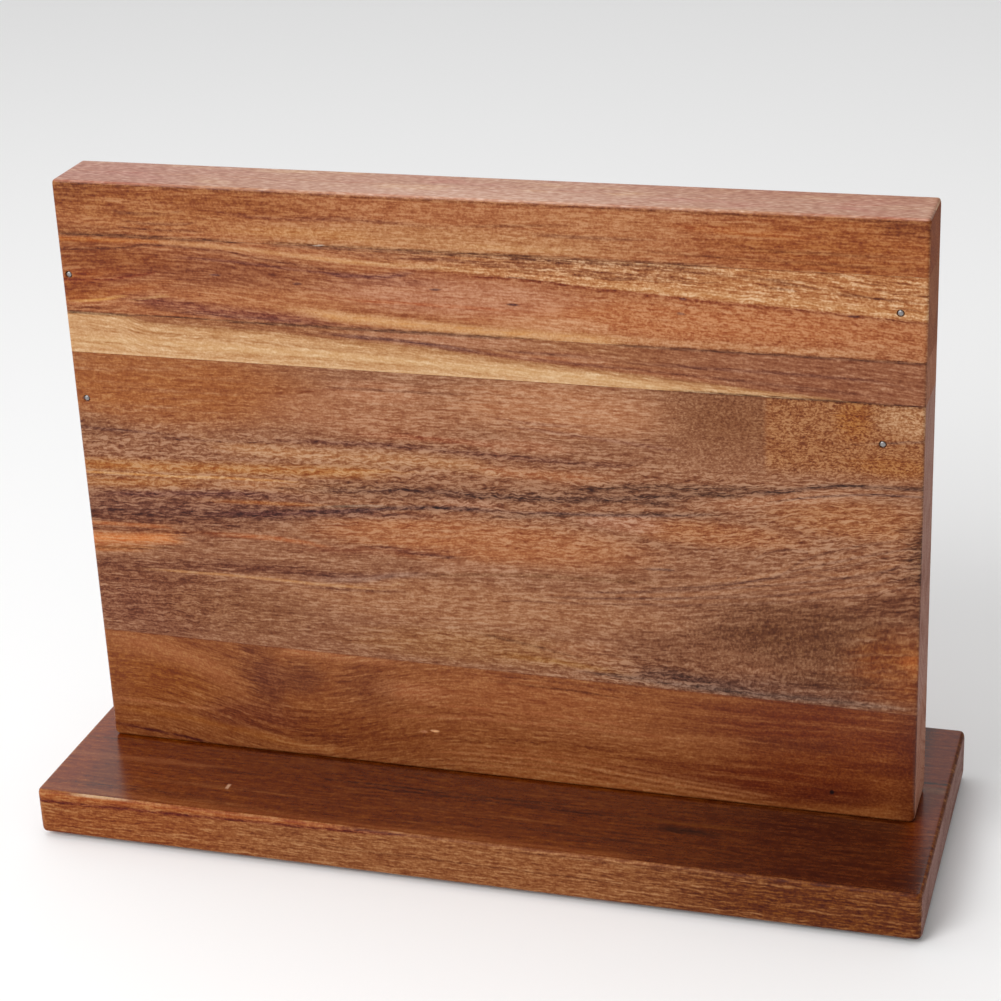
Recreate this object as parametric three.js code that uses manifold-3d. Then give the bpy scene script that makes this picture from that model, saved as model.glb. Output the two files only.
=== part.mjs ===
// Free-standing magnetic knife stand in acacia.
// An upright board, edge-glued from staves in two panels, stands on a base plank. Magnets and steel
// keeper bars lie in pockets between the panels, under a thin skin of wood on either face. Dowels and
// screws hold the board to the base, and four rubber feet hold the base off the table.
// Millimetres, +Z up, +X to the right, the front face looks towards -Y. The origin is on the table,
// under the middle of the base.

import * as THREE from 'three';
import { mergeVertices } from 'three/addons/utils/BufferGeometryUtils.js';
import Module from 'manifold-3d';

const wasm = await Module();
wasm.setup();

// ---- Base plank and feet ----
const BASE_LENGTH = 320;
const BASE_DEPTH = 115;
const BASE_THICKNESS = 17.5;
const BASE_CORNER = 2.5; // radius of the upright corners
const BASE_ARRIS = 1.5; // rounding of the long edges
const FOOT_HEIGHT = 2;
const FOOT_RADIUS = 6;
const FOOT_EDGE = 0.5; // chamfer round a foot's underside
const FOOT_INSET = 14; // from the base's edges to a foot's middle

// ---- Upright board ----
const BOARD_WIDTH = 300;
const BOARD_HEIGHT = 216;
const BOARD_THICKNESS = 25;
const BOARD_SHIFT = 1; // the board stands this far right of the base's middle
const BOARD_CORNER = 2; // radius of the four corners, seen from the front
const BOARD_ARRIS = 1.25; // rounding of every long edge
const GLUE_LINE = 0.1; // thickness of a glued joint

// Height of each edge joint above the foot of the board, at the left and the right end of the front.
const EDGE_JOINTS = [[44.5, 42], [153.5, 153.5], [168.5, 168.5], [197, 197]];

// ---- Magnets and keeper bars, in two rows behind each face ----
const SKIN = 3; // wood left in front of a magnet
const FIT = 0.25; // play round an inserted piece
const MAGNET_LENGTH = 40;
const MAGNET_HEIGHT = 15;
const MAGNET_THICKNESS = 5;
const MAGNET_PITCH = 52;
const MAGNETS_PER_ROW = 5;
const MAGNET_EDGE = 0.5;
const KEEPER_LENGTH = 254;
const KEEPER_HEIGHT = 12;
const KEEPER_THICKNESS = 3;
const KEEPER_EDGE = 0.5;
const ROWS = { lower: 137.5, upper: 182.75 }; // height of each row above the foot of the board

// ---- Brads that pinned the panels together for gluing ----
const BRAD_LENGTH = 18;
const BRAD_RADIUS = 0.6;
const BRAD_HEAD_RADIUS = 1;
const BRAD_HEAD_THICKNESS = 0.6;
const BRAD_POINT = 2; // length of the tapered point
const BRAD_SET = 0.15; // how far the head lies below the wood
const BRAD_PLAY = 0.3;
const BRADS = {
  upper_left: [-147.3, 182],
  lower_left: [-145.9, 136],
  upper_right: [141.2, 184.9],
  lower_right: [136.4, 139.8],
};

// ---- Dowels and countersunk screws between the board and the base ----
const DOWEL_RADIUS = 4;
const DOWEL_LENGTH = 38;
const DOWEL_IN_BASE = 11;
const DOWEL_CHAMFER = 1;
const DOWELS = { left: -60, right: 60 };
const SCREW_LENGTH = 42;
const SCREW_HEAD_RADIUS = 4;
const SCREW_HEAD_DEPTH = 2.4;
const SCREW_RIM = 0.4; // straight rim of the head
const SCREW_SHANK_RADIUS = 2;
const SCREW_CORE_RADIUS = 1.4;
const SCREW_SHANK_LENGTH = 15;
const THREAD_PITCH = 3;
const SCREW_POINT = 4;
const SCREW_SUNK = 0.5; // head's face below the underside of the base
const RECESS_LENGTH = 4.6;
const RECESS_WIDTH = 1;
const RECESS_DEPTH = 1.8;
const SCREWS = { left: -110, middle: 0, right: 110 };
const BORE_PLAY = 0.3; // play round dowels and screws

// ---- Fineness of the round shapes ----
const ARC_SEGMENTS = 4;
const TURN_SEGMENTS = 16;
const OVERCUT = 2; // how far a cutting block runs past what it cuts

const boardFoot = new THREE.Vector3(BOARD_SHIFT, 0, BASE_THICKNESS);

// ---- Materials ----
function finish(color, roughness, metalness = 0) {
  return new THREE.MeshStandardMaterial({ color, roughness, metalness });
}

const STAVE_COLORS = [0x8e4f27, 0x8a5736, 0xb88a58, 0x9c5a33, 0xa0623a]; // bottom to top
const materials = {
  base: () => finish(0x7c4327, 0.35),
  stave: (index) => finish(STAVE_COLORS[index], 0.4),
  magnet: () => finish(0xb9babd, 0.3, 1),
  keeper: () => finish(0x8d9094, 0.45, 1),
  brad: () => finish(0x8c8a88, 0.4, 1),
  screw: () => finish(0xc9b27c, 0.35, 1),
  dowel: () => finish(0xd9b98c, 0.7),
  foot: () => finish(0x2a2a2b, 0.85),
};

// ---- Helpers ----
function toSolid(geometry) {
  const bare = geometry.clone();
  bare.deleteAttribute('normal');
  bare.deleteAttribute('uv');
  const merged = mergeVertices(bare);
  const mesh = new wasm.Mesh({
    numProp: 3,
    vertProperties: new Float32Array(merged.attributes.position.array),
    triVerts: new Uint32Array(merged.index.array),
  });
  return new wasm.Manifold(mesh);
}

function toGeometry(solid) {
  const mesh = solid.getMesh();
  const shared = new THREE.BufferGeometry();
  shared.setAttribute('position', new THREE.BufferAttribute(mesh.vertProperties, 3));
  shared.setIndex(new THREE.BufferAttribute(mesh.triVerts, 1));
  const geometry = shared.toNonIndexed();
  geometry.computeVertexNormals();
  return geometry;
}

function join(solids) {
  return solids.reduce((whole, solid) => whole.add(solid));
}

function named(name, geometry, material, position = new THREE.Vector3()) {
  const mesh = new THREE.Mesh(geometry, material);
  mesh.name = name;
  mesh.position.copy(position);
  return mesh;
}

// A rectangle with round corners, from (left, bottom) to (right, top).
function roundedRect(left, bottom, right, top, radius) {
  const shape = new THREE.Shape();
  shape.moveTo(left + radius, bottom);
  shape.lineTo(right - radius, bottom);
  shape.absarc(right - radius, bottom + radius, radius, -Math.PI / 2, 0);
  shape.lineTo(right, top - radius);
  shape.absarc(right - radius, top - radius, radius, 0, Math.PI / 2);
  shape.lineTo(left + radius, top);
  shape.absarc(left + radius, top - radius, radius, Math.PI / 2, Math.PI);
  shape.lineTo(left, bottom + radius);
  shape.absarc(left + radius, bottom + radius, radius, Math.PI, Math.PI * 1.5);
  shape.closePath();
  return shape;
}

function prism(shape, depth) {
  return new THREE.ExtrudeGeometry(shape, { depth, bevelEnabled: false, curveSegments: ARC_SEGMENTS });
}

// Turns a prism that was drawn in a view of its own so that its drawing stands upright.
const AXES = {
  // drawn from the front: x is X, y is Z, and the prism runs towards -Y
  front: new THREE.Matrix4().makeBasis(
    new THREE.Vector3(1, 0, 0), new THREE.Vector3(0, 0, 1), new THREE.Vector3(0, -1, 0)),
  // drawn from the right: x is Y, y is Z, and the prism runs towards +X
  side: new THREE.Matrix4().makeBasis(
    new THREE.Vector3(0, 1, 0), new THREE.Vector3(0, 0, 1), new THREE.Vector3(1, 0, 0)),
};

// A block with its long edges softened by a chamfer, its middle at the origin.
function softBlock(width, depth, height, edge) {
  const outline = roundedRect(-width / 2, -depth / 2, width / 2, depth / 2, edge);
  const geometry = new THREE.ExtrudeGeometry(outline, {
    depth: height - 2 * edge,
    bevelThickness: edge,
    bevelSize: edge,
    bevelOffset: -edge,
    bevelSegments: 1,
    curveSegments: 1,
  });
  return geometry.translate(0, 0, edge - height / 2);
}

// A turned piece: profile points are [radius, height], first and last on the axis, which is +Z.
function turned(profile, segments = TURN_SEGMENTS) {
  const points = profile.map(([radius, height]) => new THREE.Vector2(radius, height));
  return new THREE.LatheGeometry(points, segments).rotateX(Math.PI / 2);
}

// ---- Profiles of the turned pieces; grow widens them into the holes they sit in ----
function bradProfile(grow = 0) {
  const length = BRAD_LENGTH + grow;
  return [
    [0, -grow],
    [BRAD_HEAD_RADIUS + grow, -grow],
    [BRAD_HEAD_RADIUS + grow, BRAD_HEAD_THICKNESS + grow],
    [BRAD_RADIUS + grow, BRAD_HEAD_THICKNESS + grow],
    [BRAD_RADIUS + grow, length - BRAD_POINT],
    [0, length],
  ];
}

function dowelProfile(grow = 0) {
  const radius = DOWEL_RADIUS + grow;
  return [
    [0, -grow],
    [radius - DOWEL_CHAMFER, -grow],
    [radius, DOWEL_CHAMFER - grow],
    [radius, DOWEL_LENGTH - DOWEL_CHAMFER + grow],
    [radius - DOWEL_CHAMFER, DOWEL_LENGTH + grow],
    [0, DOWEL_LENGTH + grow],
  ];
}

function screwProfile() {
  const profile = [
    [0, 0],
    [SCREW_HEAD_RADIUS, 0],
    [SCREW_HEAD_RADIUS, SCREW_RIM],
    [SCREW_SHANK_RADIUS, SCREW_HEAD_DEPTH],
    [SCREW_SHANK_RADIUS, SCREW_SHANK_LENGTH],
  ];
  const threadEnd = SCREW_LENGTH - SCREW_POINT;
  for (let height = SCREW_SHANK_LENGTH; height + THREAD_PITCH <= threadEnd; height += THREAD_PITCH) {
    profile.push([SCREW_CORE_RADIUS, height + THREAD_PITCH * 0.3]);
    profile.push([SCREW_CORE_RADIUS, height + THREAD_PITCH * 0.6]);
    profile.push([SCREW_SHANK_RADIUS, height + THREAD_PITCH * 0.9]);
  }
  profile.push([SCREW_CORE_RADIUS, threadEnd], [0, SCREW_LENGTH]);
  return profile;
}

// The hole for a screw: countersink below, straight bore above.
function screwHoleProfile() {
  const bore = SCREW_SHANK_RADIUS + BORE_PLAY;
  const mouth = SCREW_HEAD_RADIUS + BORE_PLAY;
  return [
    [0, -OVERCUT],
    [mouth, -OVERCUT],
    [mouth, SCREW_RIM],
    [bore, SCREW_HEAD_DEPTH],
    [bore, SCREW_LENGTH - SCREW_POINT],
    [0, SCREW_LENGTH + BORE_PLAY],
  ];
}

// ---- Where the inserted pieces sit, from the foot of the board at its middle ----
const screwPlace = (x) => new THREE.Vector3(x, 0, SCREW_SUNK - BASE_THICKNESS);
const dowelPlace = (x) => new THREE.Vector3(x, 0, -DOWEL_IN_BASE);
const bradPlace = ([x, z]) => new THREE.Vector3(x, BRAD_SET - BOARD_THICKNESS / 2, z);
const magnetX = (number) => (number - (MAGNETS_PER_ROW + 1) / 2) * MAGNET_PITCH;
const POCKET_DEPTH = BOARD_THICKNESS / 2 - SKIN; // from the middle of the board to a pocket's floor
const MAGNET_Y = POCKET_DEPTH - FIT - MAGNET_THICKNESS / 2;
const KEEPER_Y = MAGNET_Y - (MAGNET_THICKNESS + KEEPER_THICKNESS) / 2 - FIT;
const CHANNEL_DEPTH = KEEPER_Y + KEEPER_THICKNESS / 2 + FIT;

// ---- What is cut out of the wood, in the board's own frame ----
function rowCavity(height) {
  const channel = new THREE.BoxGeometry(
    KEEPER_LENGTH + 2 * FIT, 2 * CHANNEL_DEPTH, KEEPER_HEIGHT + 2 * FIT);
  const cavity = [toSolid(channel.translate(0, 0, height))];
  for (let number = 1; number <= MAGNETS_PER_ROW; number += 1) {
    const pocket = new THREE.BoxGeometry(
      MAGNET_LENGTH + 2 * FIT, 2 * POCKET_DEPTH, MAGNET_HEIGHT + 2 * FIT);
    cavity.push(toSolid(pocket.translate(magnetX(number), 0, height)));
  }
  return join(cavity);
}

function fastenerHoles() {
  const holes = [];
  for (const x of Object.values(SCREWS)) {
    holes.push(toSolid(turned(screwHoleProfile()).translate(...screwPlace(x))));
  }
  for (const x of Object.values(DOWELS)) {
    holes.push(toSolid(turned(dowelProfile(BORE_PLAY)).translate(...dowelPlace(x))));
  }
  return join(holes);
}

function bradHoles() {
  const holes = Object.values(BRADS).map((place) => {
    const hole = turned(bradProfile(BRAD_PLAY)).rotateX(-Math.PI / 2);
    return toSolid(hole.translate(...bradPlace(place)));
  });
  return join(holes);
}

// ---- The board ----
function boardBlank() {
  const half = BOARD_WIDTH / 2;
  const middle = BOARD_THICKNESS / 2;
  const front = prism(roundedRect(-half, 0, half, BOARD_HEIGHT, BOARD_CORNER), BOARD_THICKNESS);
  const plan = prism(roundedRect(-half, -middle, half, middle, BOARD_ARRIS), BOARD_HEIGHT);
  const side = prism(roundedRect(-middle, 0, middle, BOARD_HEIGHT, BOARD_ARRIS), BOARD_WIDTH);
  return toSolid(front.applyMatrix4(AXES.front).translate(0, middle, 0))
    .intersect(toSolid(plan))
    .intersect(toSolid(side.applyMatrix4(AXES.side).translate(-half, 0, 0)));
}

// The block that one stave fills. The rear panel is the front one turned about, so its joints run
// the other way.
function staveBlock(index, isFront) {
  const ends = isFront ? [0, 1] : [1, 0];
  const half = BOARD_WIDTH / 2;
  const [lowLeft, lowRight] = index === 0
    ? [-OVERCUT, -OVERCUT]
    : ends.map((end) => EDGE_JOINTS[index - 1][end] + GLUE_LINE / 2);
  const [highLeft, highRight] = index === EDGE_JOINTS.length
    ? [BOARD_HEIGHT + OVERCUT, BOARD_HEIGHT + OVERCUT]
    : ends.map((end) => EDGE_JOINTS[index][end] - GLUE_LINE / 2);
  const outline = new THREE.Shape([
    new THREE.Vector2(-half, lowLeft),
    new THREE.Vector2(half, lowRight),
    new THREE.Vector2(half, highRight),
    new THREE.Vector2(-half, highLeft),
  ]);
  const block = prism(outline, BOARD_THICKNESS / 2).applyMatrix4(AXES.front);
  return block.translate(0, isFront ? -GLUE_LINE / 2 : (BOARD_THICKNESS + GLUE_LINE) / 2, 0);
}

function makeStaves(blank, cavities) {
  const staves = [];
  for (const isFront of [true, false]) {
    for (let index = 0; index <= EDGE_JOINTS.length; index += 1) {
      const solid = blank.intersect(toSolid(staveBlock(index, isFront))).subtract(cavities);
      const name = `${isFront ? 'front' : 'rear'}_stave_${index + 1}`;
      staves.push(named(name, toGeometry(solid), materials.stave(index)));
    }
  }
  return staves;
}

function makeMagnetRow(face, level) {
  const side = face === 'front' ? -1 : 1;
  const row = [];
  for (let number = 1; number <= MAGNETS_PER_ROW; number += 1) {
    const magnet = softBlock(MAGNET_LENGTH, MAGNET_THICKNESS, MAGNET_HEIGHT, MAGNET_EDGE);
    const place = new THREE.Vector3(magnetX(number), side * MAGNET_Y, ROWS[level]);
    row.push(named(`magnet_${face}_${level}_${number}`, magnet, materials.magnet(), place));
  }
  const keeper = softBlock(KEEPER_LENGTH, KEEPER_THICKNESS, KEEPER_HEIGHT, KEEPER_EDGE);
  const place = new THREE.Vector3(0, side * KEEPER_Y, ROWS[level]);
  row.push(named(`keeper_${face}_${level}`, keeper, materials.keeper(), place));
  return row;
}

function makeBrads() {
  return Object.entries(BRADS).map(([corner, place]) => {
    const brad = named(`brad_${corner}`, turned(bradProfile(), 12), materials.brad(), bradPlace(place));
    brad.rotation.x = -Math.PI / 2; // the point goes in towards +Y
    return brad;
  });
}

// ---- The base and what holds the board on it ----
function makeBase(holes) {
  const outline = roundedRect(
    -BASE_LENGTH / 2, -BASE_DEPTH / 2, BASE_LENGTH / 2, BASE_DEPTH / 2, BASE_CORNER);
  const plank = new THREE.ExtrudeGeometry(outline, {
    depth: BASE_THICKNESS - 2 * BASE_ARRIS,
    bevelThickness: BASE_ARRIS,
    bevelSize: BASE_ARRIS,
    bevelOffset: -BASE_ARRIS,
    bevelSegments: ARC_SEGMENTS,
    curveSegments: ARC_SEGMENTS,
  });
  plank.translate(0, 0, BASE_ARRIS);
  return named('base_plank', toGeometry(toSolid(plank).subtract(holes)), materials.base());
}

function makeFeet() {
  const profile = [
    [0, 0],
    [FOOT_RADIUS - FOOT_EDGE, 0],
    [FOOT_RADIUS, FOOT_EDGE],
    [FOOT_RADIUS, FOOT_HEIGHT],
    [0, FOOT_HEIGHT],
  ];
  const feet = [];
  for (const [row, sideY] of [['front', -1], ['rear', 1]]) {
    for (const [column, sideX] of [['left', -1], ['right', 1]]) {
      const place = new THREE.Vector3(
        sideX * (BASE_LENGTH / 2 - FOOT_INSET), sideY * (BASE_DEPTH / 2 - FOOT_INSET), 0);
      feet.push(named(`foot_${row}_${column}`, turned(profile, 24), materials.foot(), place));
    }
  }
  return feet;
}

function makeScrew(name, x) {
  const slot = (width, depth) => toSolid(new THREE.BoxGeometry(width, depth, 2 * RECESS_DEPTH));
  const recess = slot(RECESS_LENGTH, RECESS_WIDTH).add(slot(RECESS_WIDTH, RECESS_LENGTH));
  const screw = toSolid(turned(screwProfile(), 12)).subtract(recess);
  return named(name, toGeometry(screw), materials.screw(), screwPlace(x));
}

function makeDowel(name, x) {
  return named(name, turned(dowelProfile()), materials.dowel(), dowelPlace(x));
}

// ---- Assembly ----
const holes = fastenerHoles();
const cavities = join([holes, bradHoles(), ...Object.values(ROWS).map(rowCavity)]);
const holesInBase = toSolid(toGeometry(holes).translate(...boardFoot));

const board = new THREE.Group();
board.position.copy(boardFoot);
board.add(...makeStaves(boardBlank(), cavities));
for (const face of ['front', 'rear']) {
  for (const level of Object.keys(ROWS)) {
    board.add(...makeMagnetRow(face, level));
  }
}
board.add(...makeBrads());
for (const [side, x] of Object.entries(SCREWS)) {
  board.add(makeScrew(`screw_${side}`, x));
}
for (const [side, x] of Object.entries(DOWELS)) {
  board.add(makeDowel(`dowel_${side}`, x));
}

const upperWorks = new THREE.Group();
upperWorks.position.z = FOOT_HEIGHT;
upperWorks.add(makeBase(holesInBase), board);

const stand = new THREE.Group();
stand.add(upperWorks, ...makeFeet());

export default stand;
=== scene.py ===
"""Magnetic knife stand in acacia: an upright board of edge-glued staves on a base plank.

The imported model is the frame. The staves, base, brads, screws, dowels and feet are built here in
finer mesh around it. The magnets and keeper bars, which are sealed inside, keep their CAD shapes and
take materials of their own.
Lengths are in millimetres, apart from the studio's and what goes into Blender, which are in metres.
"""
import math

import bmesh
import bpy
from mathutils import Matrix, Vector, noise


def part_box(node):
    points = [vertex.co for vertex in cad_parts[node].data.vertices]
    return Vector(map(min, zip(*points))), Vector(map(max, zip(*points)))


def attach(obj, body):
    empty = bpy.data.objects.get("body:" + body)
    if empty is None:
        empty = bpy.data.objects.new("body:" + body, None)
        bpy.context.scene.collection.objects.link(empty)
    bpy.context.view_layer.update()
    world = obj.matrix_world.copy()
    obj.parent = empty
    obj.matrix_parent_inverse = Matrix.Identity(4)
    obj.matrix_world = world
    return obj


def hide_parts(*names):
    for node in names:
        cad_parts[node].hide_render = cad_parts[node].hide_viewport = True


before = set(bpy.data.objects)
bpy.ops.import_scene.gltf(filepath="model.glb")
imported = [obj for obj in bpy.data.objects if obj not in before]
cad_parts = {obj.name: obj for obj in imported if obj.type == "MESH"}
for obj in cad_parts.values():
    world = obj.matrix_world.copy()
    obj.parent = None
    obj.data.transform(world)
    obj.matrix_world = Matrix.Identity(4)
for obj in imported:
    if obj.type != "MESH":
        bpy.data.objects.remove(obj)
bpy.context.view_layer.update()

MM = 0.001

# ---- Fineness of the meshes ----
CELL = 2.5  # side of a mesh cell on the broad faces
ARC_STEPS = 6  # cells round an eased edge
ROUND_STEPS = 48  # cells round a turned piece
THREAD_STEP = 0.25  # mm between the rows that carry a screw's thread
END_FACING = 0.9  # a face whose normal lies this much along the fibres shows end grain
FLAT_FACING = 0.95  # and one whose normal is this nearly upright is the top or the bottom

# ---- The wood's edges ----
BOARD_ARRIS = 1.2
BOARD_CORNER = 2.2
TOP_CORNER = 1.2  # the upper corners are crisper
BASE_ARRIS = 1.5
BASE_CORNER = 2.5
SEAM_ARRIS = 0.15  # on the edges of a stave that lie inside the board
JOINT_GAP = 0.02  # between a stave and the one above it
# How far each edge joint is eased on the faces, lowest joint first. A wider one shows as a dark line, whose
# shade the seams also paint into the wood.
JOINT_ARRIS = (0.05, 0.16, 0.12, 0.17)
PLANING = 0.05  # depth of the slight waves that planing and sanding leave
ON_FACE = 0.01  # a point this near the board's face is on it
RELIEF_STRENGTH = 0.6  # of the relief in the materials

# ---- Hardware ----
BRADS = ("upper_left", "lower_left", "upper_right", "lower_right")
BRAD_HOLE = 1.3
BRAD_HOLE_DEPTH = 3.0
SCREWS = ("left", "middle", "right")
SCREW_MOUTH = 4.3
SCREW_MOUTH_DEPTH = 3.0
THREAD_PITCH = 3.0
RECESS_ARM = 2.3  # half the length of the cross recess in a screw's head
RECESS_HALF_WIDTH = 0.5
RECESS_DEPTH = 1.8
FLUTES = 16
FLUTE_DEPTH = 0.045  # as a share of a dowel's radius
FOOT_EDGE = 0.6

# ---- How brightly the studio lights the wood, and how much white the lacquer's gloss adds ----
STAVE_LIGHT = (1.0, 1.16, 1.3, 1.3, 1.28)  # from the lowest stave up
REAR_LIGHT = 1.1
FACE_HAZE = 0.018
BASE_LIGHT = 1.2
BASE_TOP_HAZE = 0.009
BOARD_TOP_LIGHT = 0.96
BOARD_TOP_HAZE = 0.114
END_LIGHT = 0.45
END_HAZE = 0.03

# ---- How rough and how shiny the wood is ----
STAVE_ROUGHNESS = 0.32
STAVE_SPECULAR = 0.2
BASE_EDGE_ROUGHNESS = 0.5
BASE_EDGE_SPECULAR = 0.15
BASE_TOP_ROUGHNESS = 0.21
BASE_TOP_SPECULAR = 0.5
END_ROUGHNESS = 0.5
END_SPECULAR = 0.01

# ---- Where the noise of each material starts, so that no two pieces of wood are alike ----
STAVE_SEED_STEP = 10.0  # from one stave of a panel to the next
BASE_SEED = 90.0
REAR_SEED = 200.0
METAL_SEED = 300.0
BEECH_SEED = 310.0
RUBBER_SEED = 320.0
END_SEED = 400.0  # the stave's number is added
BASE_END_SEED = 410.0
BOARD_TOP_SEED = 500.0

# ---- Tones of the wood that are the same over a whole piece ----
PORE_TONE = (74, 46, 42)
# The photo doesn't show the rear panel. Its staves take tones of the front's, in another order.
REAR_TONES = ((158, 96, 60), (136, 80, 50), (182, 116, 74), (152, 104, 78), (206, 158, 112))
END_TONES = ((122, 91, 79), (122, 95, 86), (124, 87, 70), (110, 74, 58), (105, 67, 53))
END_DARK = (96, 64, 54)
BASE_END_TONE = (112, 90, 85)
BASE_END_DARK = (84, 63, 55)
# Where the pith of each stave's tree lay: how far behind the board's middle, and above its foot.
END_PITHS = ((-48, 64), (70, 118), (-52, 138), (44, 236), (-40, 152))
BASE_PITH = (24, -58)
REAR_RINGS_UP = 17.0  # how far the rings of the rear panel lie above the front's

# ---- The studio, in metres and watts ----
SKY_LEFT = 0.85
SKY_RIGHT = 0.38
KEY_PLACE = (-0.7, -1.5, 1.3)
KEY_AIM = (0.0, 0.0, 0.12)
KEY_SIZE = (1.0, 1.0)
KEY_POWER = 26.0
TOP_PLACE = (-0.1, 0.1, 1.9)
TOP_AIM = (0.0, 0.0, 0.1)
TOP_SIZE = (1.4, 1.4)
TOP_POWER = 8.0
FLOOR_SIZE = 8.0
FLOOR_WHITE = (0.9, 0.9, 0.9, 1.0)

# ---- The camera, in degrees and millimetres ----
VIEW_AZIMUTH = 17.58
VIEW_ELEVATION = 23.54
VIEW_ROLL = -2.61
VIEW_DISTANCE = 868.7
VIEW_TARGET = Vector((3.3, 0.0, 123.0))
LENS = 89.8
SENSOR = 36.0


# ==== Places, from the frame ====
def box_mm(node):
    """The low and the high corner of a CAD node's box."""
    low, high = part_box(node)
    return Vector(low) / MM, Vector(high) / MM


def underside(low, high):
    """The middle of the underside of a box."""
    return Vector(((low.x + high.x) / 2, (low.y + high.y) / 2, low.z))


BASE_LOW, BASE_HIGH = box_mm("base_plank")
STAVES = 5
STAVE_BOXES = {
    face: [box_mm(f"{face}_stave_{number}") for number in range(1, STAVES + 1)]
    for face in ("front", "rear")
}
BOARD_LOW = Vector(STAVE_BOXES["front"][0][0])
BOARD_HIGH = Vector(STAVE_BOXES["rear"][-1][1])
BOARD_MIDDLE = (BOARD_LOW + BOARD_HIGH) / 2
BOARD_FOOT = BOARD_LOW.z
BOARD_HEIGHT = BOARD_HIGH.z - BOARD_LOW.z


# ==== Fields: numbers that vary over a surface, as sockets of a material's node tree ====
def display(red, green, blue):
    """A colour given as it shows on a screen, from 0 to 255, in the linear values that shaders take."""
    def linear(value):
        share = value / 255
        return share / 12.92 if share <= 0.04045 else ((share + 0.055) / 1.055) ** 2.4
    return (linear(red), linear(green), linear(blue), 1.0)


def seen(red, green, blue, light, haze):
    """The colour that wood has to be to show as this one under the studio's light and the lacquer's gloss."""
    shown = display(red, green, blue)
    return (*(max((value - haze) / light, 0.001) for value in shown[:3]), 1.0)


NOISE_GAIN = 3.2  # brings Blender's noise, less its middle, to about -1 to 1


class Field:
    """A number at each point of a surface. Arithmetic on fields adds Math nodes to their tree."""

    def __init__(self, tree, socket):
        self.tree = tree
        self.socket = socket

    def math(self, operation, *others):
        node = self.tree.nodes.new("ShaderNodeMath")
        node.operation = operation
        for socket, value in zip(node.inputs, (self, *others)):
            feed(self.tree, socket, value)
        return Field(self.tree, node.outputs[0])

    def __add__(self, other):
        return self.math("ADD", other)

    __radd__ = __add__

    def __sub__(self, other):
        return self.math("SUBTRACT", other)

    def __rsub__(self, other):
        return (self * -1.0) + other

    def __mul__(self, other):
        return self.math("MULTIPLY", other)

    __rmul__ = __mul__

    def __truediv__(self, other):
        return self.math("DIVIDE", other)

    def smooth(self):
        """The same from 0 to 1, easing at both ends, and held there outside them."""
        return self.rise(0.0, 1.0)

    def magnitude(self):
        return self.math("ABSOLUTE")

    def root(self):
        return self.math("SQRT")

    def rise(self, low, high):
        """0 below low, 1 above high, and a smooth step between. With low above high it falls."""
        node = self.tree.nodes.new("ShaderNodeMapRange")
        node.interpolation_type = "SMOOTHSTEP"
        feed(self.tree, node.inputs["Value"], self)
        node.inputs["From Min"].default_value = min(low, high)
        node.inputs["From Max"].default_value = max(low, high)
        node.inputs["To Min"].default_value = 0.0 if low < high else 1.0
        node.inputs["To Max"].default_value = 1.0 if low < high else 0.0
        return Field(self.tree, node.outputs["Result"])

    def bell(self, half_width):
        """1 where the field is 0, falling smoothly to 0 at half_width on either side."""
        return self.magnitude().rise(half_width, 0.0)


def feed(tree, socket, value):
    """Gives an input a number, a colour, or what a field or another socket carries."""
    if isinstance(value, Field):
        tree.links.new(value.socket, socket)
    elif isinstance(value, bpy.types.NodeSocket):
        tree.links.new(value, socket)
    else:
        socket.default_value = value


class Recipe:
    """A node group made once, with named inputs, and placed in a tree as often as it is wanted."""

    def __init__(self, name, inputs, build):
        self.tree = bpy.data.node_groups.new(name, "ShaderNodeTree")
        for label in inputs:
            kind = "NodeSocketColor" if label in ("ground", "colour") else "NodeSocketFloat"
            self.tree.interface.new_socket(label, in_out="INPUT", socket_type=kind)
        self.tree.interface.new_socket("result", in_out="OUTPUT", socket_type="NodeSocketColor")
        entry = self.tree.nodes.new("NodeGroupInput")
        given = {label: Field(self.tree, entry.outputs[label]) for label in inputs}
        exit_node = self.tree.nodes.new("NodeGroupOutput")
        feed(self.tree, exit_node.inputs[0], build(self.tree, **given))

    def use(self, tree, **values):
        node = tree.nodes.new("ShaderNodeGroup")
        node.node_tree = self.tree
        for label, value in values.items():
            feed(tree, node.inputs[label], value)
        return node.outputs[0]


def mixed(tree, ground, colour, amount):
    """The colour mixed into the ground, by an amount that is held between 0 and 1."""
    node = tree.nodes.new("ShaderNodeMix")
    node.data_type = "RGBA"
    node.clamp_factor = True
    feed(tree, node.inputs["Factor"], amount)
    feed(tree, node.inputs["A"], ground)
    feed(tree, node.inputs["B"], colour)
    return node.outputs["Result"]


def build_stroke(tree, ground, colour, along, ragged, reach, across, line, height, low, width,
                 strength, broken, start, end, fade):
    """A streak along a line: soft across its width and tapering out at its ragged ends."""
    place = along + ragged * reach
    ends = ((place - start) / fade + 0.5).smooth() * ((end - place) / fade + 0.5).smooth()
    off = ((across - (line * height + low)) / width).magnitude()
    return mixed(tree, ground, colour, ends * (1.0 - off).smooth() * broken * strength)


def build_patch(tree, ground, colour, along, across, ragged, reach, middle, height, length, width,
                strength):
    """A soft oval spot."""
    dx = (along + ragged * reach - middle) / length
    dz = (across - height) / width
    spot = (1.0 - (dx * dx + dz * dz)).smooth() * (ragged * 0.4 + 1.0)
    return mixed(tree, ground, colour, spot * strength)


STROKE = Recipe("stroke", (
    "ground", "colour", "along", "ragged", "reach", "across", "line", "height", "low", "width",
    "strength", "broken", "start", "end", "fade"), build_stroke)
PATCH = Recipe("patch", (
    "ground", "colour", "along", "across", "ragged", "reach", "middle", "height", "length", "width",
    "strength"), build_patch)


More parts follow.
